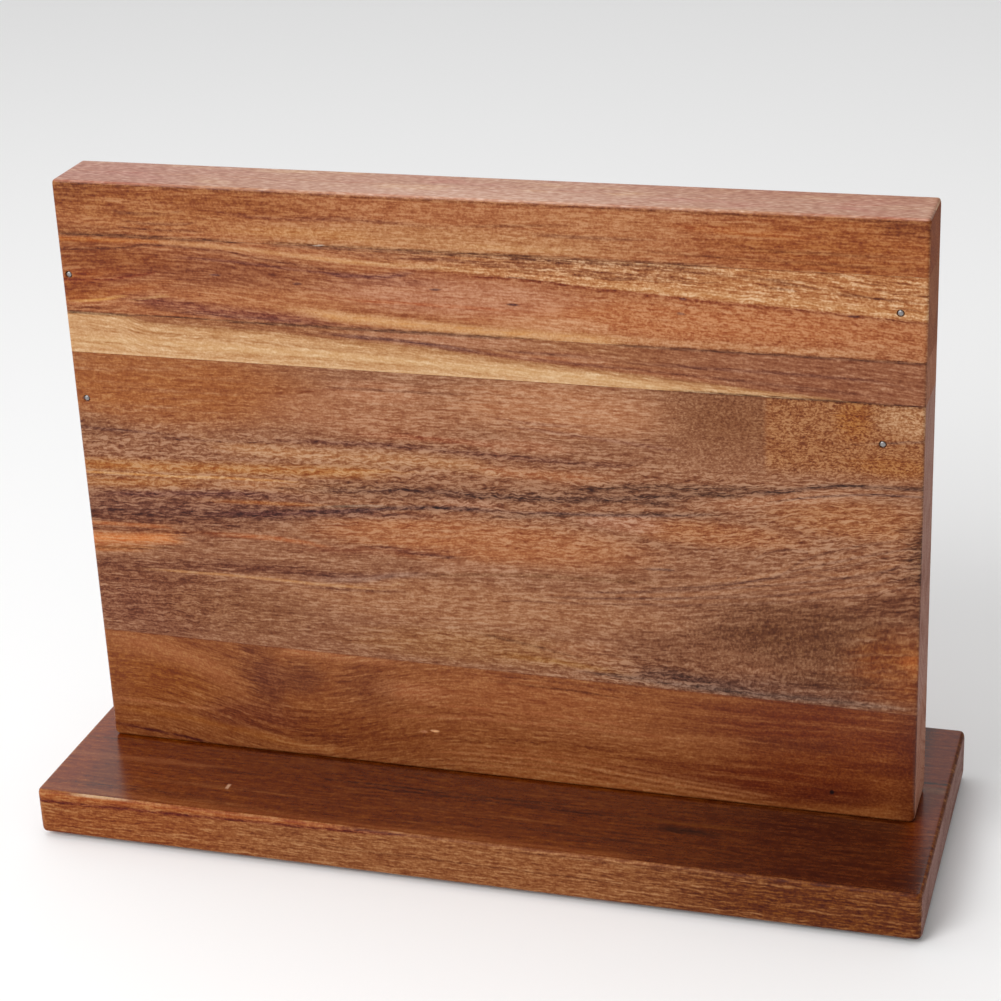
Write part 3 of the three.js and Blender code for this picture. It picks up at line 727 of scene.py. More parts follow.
def paint_stave_4(grain):
    """Orange-brown between dark purple streaks, with a pale band that widens to the right."""
    slope = grain.level([(-155, -2), (-112, 2), (-70, 0), (-20, -2), (0, -2), (155, -9)])
    ripple = (grain.z - 184).bell(22) * grain.x.rise(-20, 60) * 0.3 + 0.15
    grain.grow((172, 108, 71), slope=slope, wander=0.8, ripple=ripple)
    grain.marks(
        ((188, 118, 75), (70, 178), (110, 9), 0.85, 10),
        ((190, 130, 98), (-10, 182), (60, 9), 0.8, 10),
        ((142, 82, 54), (-95, 186), (70, 9), 0.8, 8),
        ((182, 118, 76), (-70, 177), (50, 5), 0.5, 8),
        ((138, 70, 36), (-146, 178), (22, 6), 0.85, 4),
        ((138, 76, 44), (-138, 190), (28, 8), 0.8, 4),
        ((206, 148, 106), (28, 174), (26, 3.5), 0.65, 6),
        ((196, 136, 100), (26, 190), (22, 3), 0.55, 6),
    )
    grain.vary((134, 80, 57), (198, 142, 100), 0.28)
    # the pale band
    bound = grain.level([
        (-160, 200), (-90, 196), (-50, 193), (0, 189.6), (50, 187.2), (80, 185.6), (120, 183.6), (160, 182),
    ])
    pale = (grain.v - bound + grain.ragged * 0.5).rise(-0.3, 0.9)
    grain.tint((195, 135, 87), pale * grain.x.rise(-70, 40) * 0.75)
    grain.tint((154, 92, 58), pale * grain.streaks.rise(0.1, 0.9) * grain.x.rise(-60, 40) * 0.6)
    grain.tint((120, 78, 60), pale * grain.ragged.rise(0.0, 0.8) * grain.x.rise(-60, 20) * 0.5)
    grain.marks(
        ((122, 71, 57), [(-45, 195), (-10, 194.6), (30, 193.4), (70, 193.2)], 1.5, 0.4),
        ((126, 78, 60), [(10, 195.6), (50, 195.6), (85, 194.6)], 1.2, 0.45),
        ((104, 68, 58), [(94, 191.6), (99, 191), (103, 190.8)], 0.6, 0.6, 3),
        ((94, 64, 60), [(14, 189.9), (17, 189.7), (20, 189.6)], 0.6, 0.7, 2),
        ((212, 158, 108), [(44, 189.4), (80, 187.6), (120, 186), (156, 185)], 1.6, 0.65),
        ((220, 170, 120), [(-60, 192.4), (-20, 192), (0, 191.8)], 1.0, 0.5),
        ((146, 76, 48), [(-8, 189.8), (20, 189), (52, 187), (80, 185.2), (120, 183.6)], 0.7, 0.8),
        ((136, 76, 50), [(112, 183.8), (130, 183.2), (156, 182.2)], 0.8, 0.6),
        # the red lobe at the left, and the orange under it
        ((182, 106, 52), [(-158, 194.6), (-135, 195.2), (-112, 196)], 1.2, 0.7),
        ((142, 78, 46), [(-158, 187), (-140, 187.4), (-122, 188.4), (-104, 189.6)], 5.0, 0.9, 10, 3),
        ((150, 78, 42), [(-158, 182), (-140, 182.6), (-126, 184)], 2.4, 0.8),
        ((104, 53, 37), [(-158, 191), (-138, 191.8), (-126, 192.8), (-112, 194.4), (-100, 194)], 0.7, 0.68),
        ((114, 62, 47), [(-112, 194.4), (-92, 193.6), (-72, 191), (-46, 188.4)], 0.9, 0.47),
        ((128, 56, 26), [(-158, 179.8), (-138, 180.4), (-126, 182), (-115, 184.4)], 0.8, 0.9),
        ((172, 98, 50), [(-158, 173.6), (-142, 174.4), (-126, 177.4), (-114, 180)], 2.4, 0.5),
        ((224, 166, 100), [(-148, 172.4), (-136, 173.8), (-126, 175.6)], 0.7, 0.7, 5),
        ((214, 160, 104), [(-124, 174), (-116, 175.4), (-110, 176.4)], 0.7, 0.8, 4),
        ((124, 66, 43), [(-158, 170.2), (-144, 170.4), (-130, 171)], 0.9, 0.59),
        ((216, 162, 112), [(-110, 195.8), (-90, 195.2), (-62, 193.4), (-34, 191.8)], 1.2, 0.6),
        # dark streaks through the middle
        ((117, 66, 58), [(-106, 190.2), (-86, 189.8), (-66, 188.4), (-46, 187.6)], 0.8, 0.59),
        ((110, 62, 60), [(-50, 187.2), (-36, 187.4), (-24, 189), (-18, 190)], 1.3, 0.68, 7),
        ((132, 72, 56), [(-40, 185.4), (-25, 186.2), (-12, 187)], 1.8, 0.5),
    )
    # short dark flecks
    for place, reach in (
        ((-13, 184.5), 2.6), ((-62.5, 183.2), 2.2), ((-92, 184.6), 2.8), ((14, 180.4), 3.0),
        ((71, 185.8), 1.6), ((126, 183.2), 2.4), ((70, 180.8), 2.0),
    ):
        grain.patch((90, 56, 56), place, (reach, 0.6), 0.75, ragged=1)
    # the purple streak along the foot, and the cream line over it
    grain.marks(
        ((126, 68, 56), [(-124, 174.2), (-112, 173.6), (-96, 172), (-76, 171), (-56, 170)], 2.6, 0.75),
        ((106, 62, 58), [(-110, 171), (-92, 170.2), (-76, 169.8), (-58, 169.4)], 1.1, 0.55),
        ((110, 64, 57), [(-60, 169.6), (-30, 169), (0, 168.8)], 0.7, 0.4),
        ((224, 172, 118), [(-60, 173.4), (-42, 172), (-10, 170.8), (20, 170), (52, 169.4)], 2.4, 0.7),
        ((150, 84, 50), [(-46, 174.6), (-20, 174), (0, 172.6)], 0.7, 0.7),
        ((176, 92, 52), [(-40, 178.6), (-5, 178.4), (12, 178.2)], 0.8, 0.6),
        ((204, 148, 104), [(50, 170.4), (90, 170), (130, 170.6)], 1.5, 0.6),
    )
    grain.seam((77, 49, 41), [(-152, 168.7), (-120, 168.6), (-60, 168.7), (20, 168.7)], 0.6, 0.52)
    grain.seam((82, 50, 41), [(50, 168.7), (152, 168.7)], 0.6, 0.42)
    grain.seam((84, 50, 38), [(-152, 196.8), (-120, 196.8), (-80, 196.8)], 0.7, 0.5)
    grain.seam((109, 74, 60), [(-70, 196.6), (10, 196.5), (80, 196.6)], 0.84, 0.52)
    broken = pale * grain.x.rise(-60, 40)
    right = grain.x.rise(20, 70) * (1.0 - broken)
    grain.fibres(broken * 0.22 + right * 0.2 + 0.34, broken * 0.2 - right * 0.12 + 0.3,
                 broken * 0.16 + right * 0.12 + 0.22, 0.08, pores=0.28, palest=broken * -0.2 - 0.22)


def paint_stave_5(grain):
    """Even orange-brown with fine grain, a little paler along its lower edge."""
    grain.grow((172, 108, 70), wander=0.7, ripple=0.18)
    grain.marks(
        ((150, 86, 48), (-112, 210), (80, 10), 0.8, 10),
        ((190, 135, 91), (-15, 201), (90, 7), 0.75, 14),
        ((186, 126, 84), (42, 209), (42, 7), 0.5, 10),
        ((158, 90, 50), (122, 206), (60, 16), 0.9, 10),
        ((176, 114, 70), (-110, 203), (40, 6), 0.5, 10),
        ((138, 80, 48), (-140, 198.6), (26, 3.2), 0.65, 6),
        ((126, 68, 40), (-148, 213), (20, 5), 0.65, 6),
        ((128, 70, 42), (148, 213), (20, 5), 0.6, 6),
    )
    grain.vary((140, 82, 50), (192, 136, 92), 0.25)
    grain.marks(
        ((182, 102, 54), [(76, 209.6), (90, 209.2), (106, 208.6)], 1.6, 0.5),
        ((119, 67, 48), [(-126, 206), (-116, 205.6), (-106, 206)], 0.8, 0.59, 5),
        ((120, 69, 52), [(-122, 202.6), (-112, 202.2), (-98, 203.4)], 0.8, 0.59, 5),
        ((124, 71, 50), [(-122, 200.4), (-108, 200), (-94, 200.6)], 0.8, 0.51, 5),
        ((134, 76, 56), [(-86, 207), (-66, 206.4), (-44, 207)], 0.9, 0.5),
        ((127, 74, 55), [(-52, 207), (-34, 206.8), (-16, 206)], 1.1, 0.51),
        ((190, 128, 74), [(-82, 200.8), (-55, 201.6), (-36, 201)], 2.4, 0.5),
        ((212, 162, 114), [(-4, 199.6), (16, 199.8), (36, 199.4)], 1.3, 0.5),
        ((125, 77, 58), [(20, 205.2), (38, 204.6), (56, 204.8)], 0.9, 0.51),
        ((124, 76, 53), [(-2, 206.6), (12, 207.4), (30, 208.2)], 0.8, 0.42),
        ((125, 71, 43), [(92, 203.6), (110, 203.2), (130, 203.4)], 0.8, 0.51),
        ((127, 71, 43), [(60, 200.8), (90, 200.2), (150, 199.6)], 0.8, 0.42),
    )
    grain.seam((76, 44, 34), [(-152, 197.2), (-120, 197.3), (-84, 197.2)], 0.8, 0.5)
    grain.seam((90, 58, 47), [(-70, 197.2), (-30, 197.2), (20, 197.2), (84, 197.2)], 0.96, 0.56)
    grain.seam((206, 190, 174), [(-54.4, 197.3), (-53.4, 197.3), (-52.2, 197.3)], 0.5, 0.7, fade=0.8)
    grain.seam((119, 68, 44), [(-152, 214.8), (-60, 214.9), (152, 214.8)], 0.84, 0.52)
    grain.fibres(0.38, 0.28, 0.27, 0.06, pores=0.22, palest=-0.22)
    paint_board_top_sheen(grain)


def paint_board_top_sheen(grain):
    """The top edge of the board, worked across the fibres' ends here and there and finely pitted, and painted
    paler and pinker as the sheen of its gloss catching the white studio.
    """
    over = Grain(grain.material, BOARD_TOP_SEED, BOARD_MIDDLE.x, BOARD_FOOT,
                 light=BOARD_TOP_LIGHT, haze=BOARD_TOP_HAZE)
    over.colour = over.tone(190, 150, 132)
    cloud = over.noise(28, 7, 20, detail=2.0, lane=1, follow=False)
    over.tint((186, 134, 122), cloud.rise(0.0, 0.9) * 0.8)
    over.tint((214, 178, 148), cloud.rise(0.0, -0.9) * 0.8)
    over.tint((212, 176, 158), over.x.bell(90) * over.y.rise(4, -8) * 0.6)
    over.tint((174, 126, 108), over.x.rise(30, 90) * over.y.rise(0, 8) * 0.5)
    over.tint((178, 132, 122), over.x.rise(-60, -150) * 0.6)
    pits = over.noise(2.6, 0.9, 2.0, detail=1.5, lane=2, follow=False)
    over.deepen(pits.math("MAXIMUM", -0.4) * 0.5 + over.noise(5, 1.6, 5, lane=3, follow=False) * 0.3)
    # The top face takes this paler colour: a painted sheen over the fine pits.
    grain.blend(over.colour, grain.z.rise(BOARD_HEIGHT - 0.7, BOARD_HEIGHT - 0.2))


def paint_base_edge(grain):
    """The sawn edges of the base: brown and straight-grained, redder at the left and darker at the right."""
    grain.grow((146, 92, 58), wander=0.8, ripple=0.3, tilt=0.0)
    grain.marks(
        ((144, 82, 48), (-140, 8), (80, 34), 0.9, 12),
        ((108, 60, 38), (140, 8), (100, 34), 0.95, 12),
    )
    grain.vary((116, 66, 42), (172, 114, 72), 0.3)
    grain.marks(
        ((166, 94, 54), [(-170, 15.6), (-100, 16.2), (-40, 17)], 1.8, 0.7),
        ((102, 42, 28), [(-170, 13.4), (-120, 13.8), (-70, 15.2), (-20, 17.2)], 0.8, 0.8, 12, 4),
        ((224, 190, 150), [(-146, 16.9), (-136, 17), (-126, 16.9)], 0.6, 0.7, 5, 5),
        ((106, 62, 44), [(20, 15.4), (60, 15.8), (120, 15.4)], 0.7, 0.5),
        ((108, 62, 42), [(-60, 9), (0, 8.4), (60, 9)], 0.6, 0.4),
    )
    grain.fibres(0.42, 0.34, 0.2, 0.08, pores=0.2, palest=-0.28)


def paint_base_top(grain):
    """The polished face of the base: dark red-brown, its growth rings running in from the ends."""
    grain.grow((103, 49, 8), wander=0.8, ripple=0.3, tilt=0.0)
    depth = grain.y + grain.noise(90, 30, 30, detail=1.0, lane=8, follow=False) * 1.6
    rings = grain.noise(75, 2.6, 40, detail=2.0, lane=9)
    rings += grain.noise(160, 11, 40, detail=1.0, lane=10)
    calm = grain.x.rise(-150, -125) * 0.5 + 0.5
    grain.tint((113, 53, 8), grain.x.rise(-20, -150) * 0.9)
    grain.tint((76, 37, 17), grain.x.rise(20, 140) * 0.9)
    grain.tint((62, 29, 16), rings.rise(0.1, 1.2) * 0.7 * calm)
    grain.tint((134, 78, 42), rings.rise(-0.15, -1.3) * 0.5 * calm)
    # Painted reflection: paler at the left end, past the board's reflection, where the gloss shows the white
    # surround.
    grain.tint((136, 62, 8), grain.x.rise(-140, -154) * 0.75)
    grain.tint((128, 54, 8), grain.x.rise(145, 153) * grain.y.rise(-52, 16) * 0.85)
    for colour, points, width, strength in (
        ((34, 18, 14), [(66, -34), (76, -34.2), (86, -34.4)], 2.6, 0.8),
        ((120, 66, 30), [(60, -29.6), (78, -29.4), (96, -29)], 1.6, 0.7),
        ((160, 96, 56), [(-162, -29), (-130, -28.4), (-104, -28)], 2.6, 0.4),
        ((64, 30, 20), [(-60, -26.6), (-30, -27.4), (30, -27)], 1.2, 0.7),
        ((60, 26, 16), [(-40, -29.6), (0, -30), (50, -31)], 1.2, 0.6),
        ((66, 30, 18), [(-160, -50), (-120, -49.6), (-90, -50)], 1.8, 0.35),
        ((150, 84, 44), [(-164, -54), (-60, -54.6), (60, -54)], 2.0, 0.5),
        ((70, 38, 26), [(-164, -16.5), (-150, -16), (-140, -15)], 1.2, 0.45),
        ((56, 34, 30), [(148, 16), (155, 16.4), (164, 16)], 1.2, 0.8),
        ((128, 92, 66), [(148, 12), (155, 12), (164, 11.6)], 3.0, 0.6),
    ):
        grain.stroke(colour, points, width, strength, 10.0, 5.0, across=depth)
    # a pale nick near the front edge
    fleck = (grain.x + 92).magnitude().rise(0.9, 0.3) * (grain.y + 40).magnitude().rise(2.2, 1.0)
    grain.tint((196, 150, 118), fleck)
    grain.fibres(0.2, 0.2, 0.1, 0.08, pores=0.05)


def rear_paint(number):
    """The paint of a stave of the rear panel: streaked heartwood, each from a plank of its own tone."""
    def paint(grain):
        slope = grain.noise(190, 60, 60, detail=0.0, lane=15, follow=False) * 5.0
        grain.grow(REAR_TONES[number - 1], slope=slope, wander=1.2, ripple=0.35)
        bands = grain.noise(130, 9, 8, detail=2.0, lane=12)
        grain.tint((116, 68, 48), bands.rise(-0.1, 0.6) * 0.7)
        grain.tint((202, 144, 96), bands.rise(-0.1, -0.7) * 0.5)
        grain.tint((78, 46, 44), (bands + grain.ragged * 0.4).rise(0.35, 0.9) * 0.8)
        grain.vary((118, 70, 50), (200, 146, 102), 0.4)
        grain.fibres(0.38, 0.3, 0.2)
        if number == STAVES:
            paint_board_top_sheen(grain)
    return paint


def paint_end(grain, tone, dark, pith, panels):
    """Sawn across the fibres: arcs of growth rings about a pith outside the plank, and pores as dots.

    Where there are two panels, the rear one's rings curve the other way.
    """
    grain.colour = grain.tone(*tone)
    rear = grain.y.rise(-0.01, 0.01) * (panels - 1)
    away = grain.y - pith[0] + rear * (2 * pith[0])
    below = grain.z - pith[1] - rear * REAR_RINGS_UP
    wander = grain.noise(400, 30, 30, detail=1.0, lane=30, follow=False) * 2.0
    grain.w = (away * away + below * below).root() + wander
    rings = grain.noise(400, 120, 1.7, detail=2.0, lane=31)
    cloud = grain.noise(90, 12, 10, detail=2.0, lane=33, follow=False)
    grain.fibre = grain.noise(30, 0.6, 0.6, detail=1.0, lane=32, follow=False)
    grain.tint(dark, rings.rise(-0.3, 0.9) * 0.6)
    grain.tint(dark, cloud.rise(-0.2, 1.0) * 0.3)
    grain.deepen(grain.fibre * 0.3 + cloud * 0.12 + rings * 0.06)


# ==== Materials ====
def new_material(name):
    material = bpy.data.materials.new(name)
    material.use_nodes = True
    material.node_tree.nodes.clear()
    return material


def surface(grain, roughness, relief, specular=0.5, metallic=0.0):
    """Shades a painted material. The roughness, and the relief in mm, may be fields."""
    tree = grain.tree
    shader = tree.nodes.new("ShaderNodeBsdfPrincipled")
    output = tree.nodes.new("ShaderNodeOutputMaterial")
    tree.links.new(shader.outputs[0], output.inputs[0])
    feed(tree, shader.inputs["Base Color"], grain.colour)
    feed(tree, shader.inputs["Roughness"], roughness)
    shader.inputs["Metallic"].default_value = metallic
    shader.inputs["Specular IOR Level"].default_value = specular
    bump = tree.nodes.new("ShaderNodeBump")
    bump.inputs["Strength"].default_value = RELIEF_STRENGTH
    bump.inputs["Distance"].default_value = MM
    feed(tree, bump.inputs["Height"], relief)
    tree.links.new(bump.outputs[0], shader.inputs["Normal"])


def wood_material(name, paint, seed, light, flip=1.0):
    """A stave's wood under a satin clear lacquer, whose gloss is uneven along the fibres."""
    grain = Grain(new_material(name), seed, BOARD_MIDDLE.x, BOARD_FOOT, flip, light)
    paint(grain)
    gloss = grain.lines * 0.03 + grain.fibre * 0.03 + STAVE_ROUGHNESS
    surface(grain, gloss, grain.fibre * -0.02 + grain.lines * -0.01, STAVE_SPECULAR)
    return grain.material


def base_material(name, paint, roughness, specular, haze):
    """The base's wood, matt where it was sawn and glossy where it was polished."""
    grain = Grain(new_material(name), BASE_SEED, 0.0, BASE_LOW.z, light=BASE_LIGHT, haze=haze)
    paint(grain)
    gloss = grain.lines * 0.02 + grain.fibre * 0.02 + roughness
    surface(grain, gloss, grain.fibre * -0.01 + grain.lines * -0.01, specular)
    return grain.material


def end_material(name, seed, foot, tone, dark, pith, panels):
    """End grain, which drinks the lacquer and stays duller."""
    grain = Grain(new_material(name), seed, 0.0, foot, light=END_LIGHT, haze=END_HAZE)
    paint_end(grain, tone, dark, pith, panels)
    surface(grain, grain.fibre * 0.05 + END_ROUGHNESS, grain.fibre * -0.03, END_SPECULAR)
    return grain.material


def metal_material(name, colour, tarnish, roughness, scale):
    """Bare metal with smears of tarnish, scale being how wide they are in mm."""
    grain = Grain(new_material(name), METAL_SEED)
    grain.colour = colour
    smears = grain.noise(scale * 4, scale * 4, scale, detail=3.0, follow=False)
    grain.blend(tarnish, smears.rise(-0.2, 1.0) * 0.6)
    surface(grain, smears * 0.1 + roughness, smears * 0.01, metallic=1.0)
    return grain.material


def beech_material():
    grain = Grain(new_material("beech"), BEECH_SEED)
    grain.colour = display(216, 184, 142)
    fleck = grain.noise(0.6, 0.6, 3.0, detail=1.0, follow=False)
    grain.blend(display(172, 128, 88), fleck.rise(0.3, 1.0) * 0.7)
    surface(grain, fleck * 0.06 + 0.62, fleck * 0.02)
    return grain.material


def rubber_material():
    grain = Grain(new_material("rubber"), RUBBER_SEED)
    grain.colour = display(40, 40, 42)
    speckle = grain.noise(0.7, 0.7, 0.7, detail=2.0, follow=False)
    grain.blend(display(62, 61, 60), speckle.rise(0.0, 1.0) * 0.4)
    surface(grain, speckle * 0.08 + 0.78, speckle * 0.03, specular=0.3)
    return grain.material


# ==== Meshes ====
def ring_of(y0, y1, z0, z1, radii, cells):
    """A rectangle's outline as (y, z) points, its corners rounded by radii and its sides cut in cells.

    Corners and sides come in the order of (y0, z0), (y1, z0), (y1, z1), (y0, z1).
    """
    corners = ((y0, z0), (y1, z0), (y1, z1), (y0, z1))
    inward = ((1, 1), (-1, 1), (-1, -1), (1, -1))
    arcs = []
    for turn, ((y, z), (sy, sz), radius) in enumerate(zip(corners, inward, radii)):
        middle = (y + sy * radius, z + sz * radius)
        angles = [math.pi * (1 + turn / 2 + step / ARC_STEPS / 2) for step in range(ARC_STEPS + 1)]
        arcs.append([(middle[0] + radius * math.cos(a), middle[1] + radius * math.sin(a)) for a in angles])
    points = []
    for turn, arc in enumerate(arcs):
        start, end = arc[-1], arcs[(turn + 1) % 4][0]
        count = cells[turn % 2]
        points += arc
        points += [
            (start[0] + (end[0] - start[0]) * step / count, start[1] + (end[1] - start[1]) * step / count)
            for step in range(1, count)
        ]
    return points


def stations(low, high, radius):
    """Places along a piece, close together where its ends are rounded."""
    rounded = [radius * (1 - math.cos(math.pi / 2 * step / ARC_STEPS)) for step in range(ARC_STEPS + 1)]
    count = round((high - low - 2 * radius) / CELL)
    inner = [low + radius + (high - low - 2 * radius) * step / count for step in range(1, count)]
    return [low + t for t in rounded] + inner + [high - t for t in reversed(rounded)]


def drawn_in(distance, radius):
    """How far a side is drawn in at a distance from the rounded end of a piece."""
    if distance >= radius:
        return 0.0
    return radius - math.sqrt(radius * radius - (radius - distance) ** 2)


def link(name, mesh):
    piece = bpy.data.objects.new(name, mesh)
    bpy.context.scene.collection.objects.link(piece)
    return piece


def closed_mesh(name, points, faces):
    """A piece from points in mm, with its faces turned outwards and its shading smooth."""
    mesh = bpy.data.meshes.new(name)
    mesh.from_pydata([Vector(point) * MM for point in points], [], faces)
    shape = bmesh.new()
    shape.from_mesh(mesh)
    bmesh.ops.recalc_face_normals(shape, faces=shape.faces)
    shape.to_mesh(mesh)
    shape.free()
    mesh.shade_smooth()
    return link(name, mesh)


def loft(name, rings):
    """A piece through rings of points, each with the same number of them, closed at both ends."""
    count = len(rings[0])
    points = [point for ring in rings for point in ring]
    faces = []
    for row in range(len(rings) - 1):
        for step in range(count):
            turn = (step + 1) % count
            faces.append((row * count + step, row * count + turn,
                          (row + 1) * count + turn, (row + 1) * count + step))
    faces.append(tuple(range(count)))
    faces.append(tuple(range((len(rings) - 1) * count, len(rings) * count)))
    return closed_mesh(name, points, faces)


def turned(name, profile, place, along=Vector((0, 0, 1)), wave=None):
    """A piece turned about an axis through place.

    profile has (radius, height) points, its first and last on the axis. wave(angle, height) may scale
    the radius.
    """
    turn = along.to_track_quat("Z", "Y").to_matrix()
    angles = [2 * math.pi * step / ROUND_STEPS for step in range(ROUND_STEPS)]

    def at(radius, height, angle):
        scale = wave(angle, height) if wave else 1.0
        local = Vector((radius * scale * math.cos(angle), radius * scale * math.sin(angle), height))
        return place + turn @ local

    rows = profile[1:-1]
    points = [at(radius, height, angle) for radius, height in rows for angle in angles]
    first, last = len(points), len(points) + 1
    points += [at(0.0, profile[0][1], 0.0), at(0.0, profile[-1][1], 0.0)]
    faces = []
    for step in range(ROUND_STEPS):
        after = (step + 1) % ROUND_STEPS
        faces.append((first, after, step))
        top = (len(rows) - 1) * ROUND_STEPS
        faces.append((last, top + step, top + after))
        for row in range(len(rows) - 1):
            low = row * ROUND_STEPS
            high = low + ROUND_STEPS
            faces.append((low + step, low + after, high + after, high + step))
    return closed_mesh(name, points, faces)


def keep_flats(piece, angle=None):
    """Shades the broad faces flat and lets the eased edges turn between them.

    Edges that turn by more than the angle, in degrees, stay sharp.
    """
    if angle is not None:
        piece.data.set_sharp_from_angle(angle=math.radians(angle))
    weighted = piece.modifiers.new("weighted_normals", "WEIGHTED_NORMAL")
    weighted.weight = 100
    weighted.keep_sharp = True


def cut(piece, tool):
    """Cuts the tool's shape out of a piece and throws the tool away."""
    boolean = piece.modifiers.new("cut", "BOOLEAN")
    boolean.operation = "DIFFERENCE"
    boolean.solver = "EXACT"
    boolean.object = tool
    bpy.context.view_layer.update()
    graph = bpy.context.evaluated_depsgraph_get()
    after = bpy.data.meshes.new_from_object(piece.evaluated_get(graph))
    piece.modifiers.clear()
    before = piece.data
    piece.data = after
    bpy.data.meshes.remove(before)
    bpy.data.objects.remove(tool)


def settle(piece, slot, materials, *nodes):
    """Gives a finished piece its materials and puts it in the place of its CAD node.

    A second material is for its end grain and a third for its top and bottom.
    """
    for material in materials:
        piece.data.materials.append(material)
    for face in piece.data.polygons:
        face.material_index = 0
        if len(materials) > 1 and abs(face.normal.x) > END_FACING:
            face.material_index = 1
        elif len(materials) > 2 and abs(face.normal.z) > FLAT_FACING:
            face.material_index = 2
    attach(piece, "root")
    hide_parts(*nodes)


# ==== Wooden pieces ====
def waves(x, z, seed):
    """The slight hollows of a sanded face, from 0 to PLANING deep."""
    broad = noise.noise(Vector((x / 55, z / 22, seed)))
    small = noise.noise(Vector((x / 18, z / 9, seed + 7)))
    return PLANING * min(max(0.5 + broad + 0.4 * small, 0.0), 1.0)


def stave_mesh(face, number):
    """A stave of the front or the rear panel, its joints sloping as they do in the CAD."""
    front = face == "front"
    side = -1 if front else 1
    low, high = STAVE_BOXES[face][number - 1]
    outer = BOARD_LOW.y if front else BOARD_HIGH.y
    inner = BOARD_MIDDLE.y
    is_foot, is_top = number == 1, number == STAVES

    def joint(below, share):
        """Height of the joint over stave number `below`, share being 0 at its higher end."""
        peak, valley = STAVE_BOXES[face][below - 1][1].z, STAVE_BOXES[face][below][0].z
        return peak + (valley - peak) * share

    lower = BOARD_ARRIS if is_foot else JOINT_ARRIS[number - 2]
    upper = BOARD_ARRIS if is_top else JOINT_ARRIS[number - 1]
    radii = (lower, SEAM_ARRIS, SEAM_ARRIS, upper) if front else (SEAM_ARRIS, lower, upper, SEAM_ARRIS)
    cells = (round(abs(inner - outer) / CELL), round((high.z - low.z) / CELL))
    rings = []
    for x in stations(low.x, high.x, BOARD_CORNER):
        end = min(x - low.x, high.x - x)
        share = (x - low.x) / (high.x - low.x)
        share = share if front else 1 - share
        z0 = low.z + drawn_in(end, BOARD_CORNER) if is_foot else joint(number - 1, share) + JOINT_GAP / 2
        z1 = high.z - drawn_in(end, TOP_CORNER) if is_top else joint(number, share) - JOINT_GAP / 2
        y_out = outer - side * drawn_in(end, BOARD_ARRIS)
        y0, y1 = (y_out, inner) if front else (inner, y_out)
        rings.append([
            (x, y - side * waves(x, z, number * side) if abs(y - y_out) < ON_FACE else y, z)
            for y, z in ring_of(y0, y1, z0, z1, radii, cells)
        ])
    return loft(f"{face}_stave_{number}_wood", rings)


def base_mesh():
    low, high = BASE_LOW, BASE_HIGH
    cells = (round((high.y - low.y) / CELL), round((high.z - low.z) / CELL))
    rings = []
    for x in stations(low.x, high.x, BASE_CORNER):
        end = min(x - low.x, high.x - x)
        dy, dz = drawn_in(end, BASE_CORNER), drawn_in(end, BASE_ARRIS)
        ring = ring_of(low.y + dy, high.y - dy, low.z + dz, high.z - dz, (BASE_ARRIS,) * 4, cells)
        rings.append([(x, y, z) for y, z in ring])
    return loft("base_plank_wood", rings)


def bore(radius, depth, place, along):
    """A tool that cuts a straight round hole, starting a little outside the wood."""
    return turned("bore", [(0, -1), (radius, -1), (radius, depth), (0, depth)], place, along)


def pin_holes(piece, number):
    """Cuts the holes of the brads that are set in this stave of the front."""
    low, high = STAVE_BOXES["front"][number - 1]
    for corner in BRADS:
        brad_low, brad_high = box_mm(f"brad_{corner}")
        middle = (brad_low + brad_high) / 2
        if low.z < middle.z < high.z:
            place = Vector((middle.x, BOARD_LOW.y, middle.z))
            cut(piece, bore(BRAD_HOLE, BRAD_HOLE_DEPTH, place, Vector((0, 1, 0))))


PAINTS = (paint_stave_1, paint_stave_2, paint_stave_3, paint_stave_4, paint_stave_5)


def make_board():
    """The front and the rear panel, stave by stave."""
    for number, (paint, light, tone, pith) in enumerate(zip(PAINTS, STAVE_LIGHT, END_TONES, END_PITHS), 1):
        slot = f"acacia_stave_{number}"
        seed = STAVE_SEED_STEP * number
        end = end_material(f"end_of_stave_{number}", END_SEED + number, BOARD_FOOT, tone, END_DARK, pith, 2)
        wood = wood_material(f"front_stave_{number}", paint, seed, light)
        piece = stave_mesh("front", number)
        pin_holes(piece, number)
        keep_flats(piece)
        settle(piece, slot, (wood, end), f"front_stave_{number}")
        paint = rear_paint(number)
        wood = wood_material(f"rear_stave_{number}", paint, REAR_SEED + seed, REAR_LIGHT, flip=-1.0)
        piece = stave_mesh("rear", number)
        keep_flats(piece)
        settle(piece, slot, (wood, end), f"rear_stave_{number}")


def make_base():
    """The base plank, with the mouths of the screws' holes in its underside."""
    piece = base_mesh()
    for name in SCREWS:
        low, high = box_mm(f"screw_{name}")
        place = Vector(((low.x + high.x) / 2, 0, BASE_LOW.z))
        cut(piece, bore(SCREW_MOUTH, SCREW_MOUTH_DEPTH, place, Vector((0, 0, 1))))
    keep_flats(piece)
    end = end_material(
        "end_of_base", BASE_END_SEED, BASE_LOW.z, BASE_END_TONE, BASE_END_DARK, BASE_PITH, 1)
    edge = base_material("base_edge", paint_base_edge, BASE_EDGE_ROUGHNESS, BASE_EDGE_SPECULAR, FACE_HAZE)
    top = base_material("base_top", paint_base_top, BASE_TOP_ROUGHNESS, BASE_TOP_SPECULAR, BASE_TOP_HAZE)
    settle(piece, "acacia_base", (edge, end, top), "base_plank")


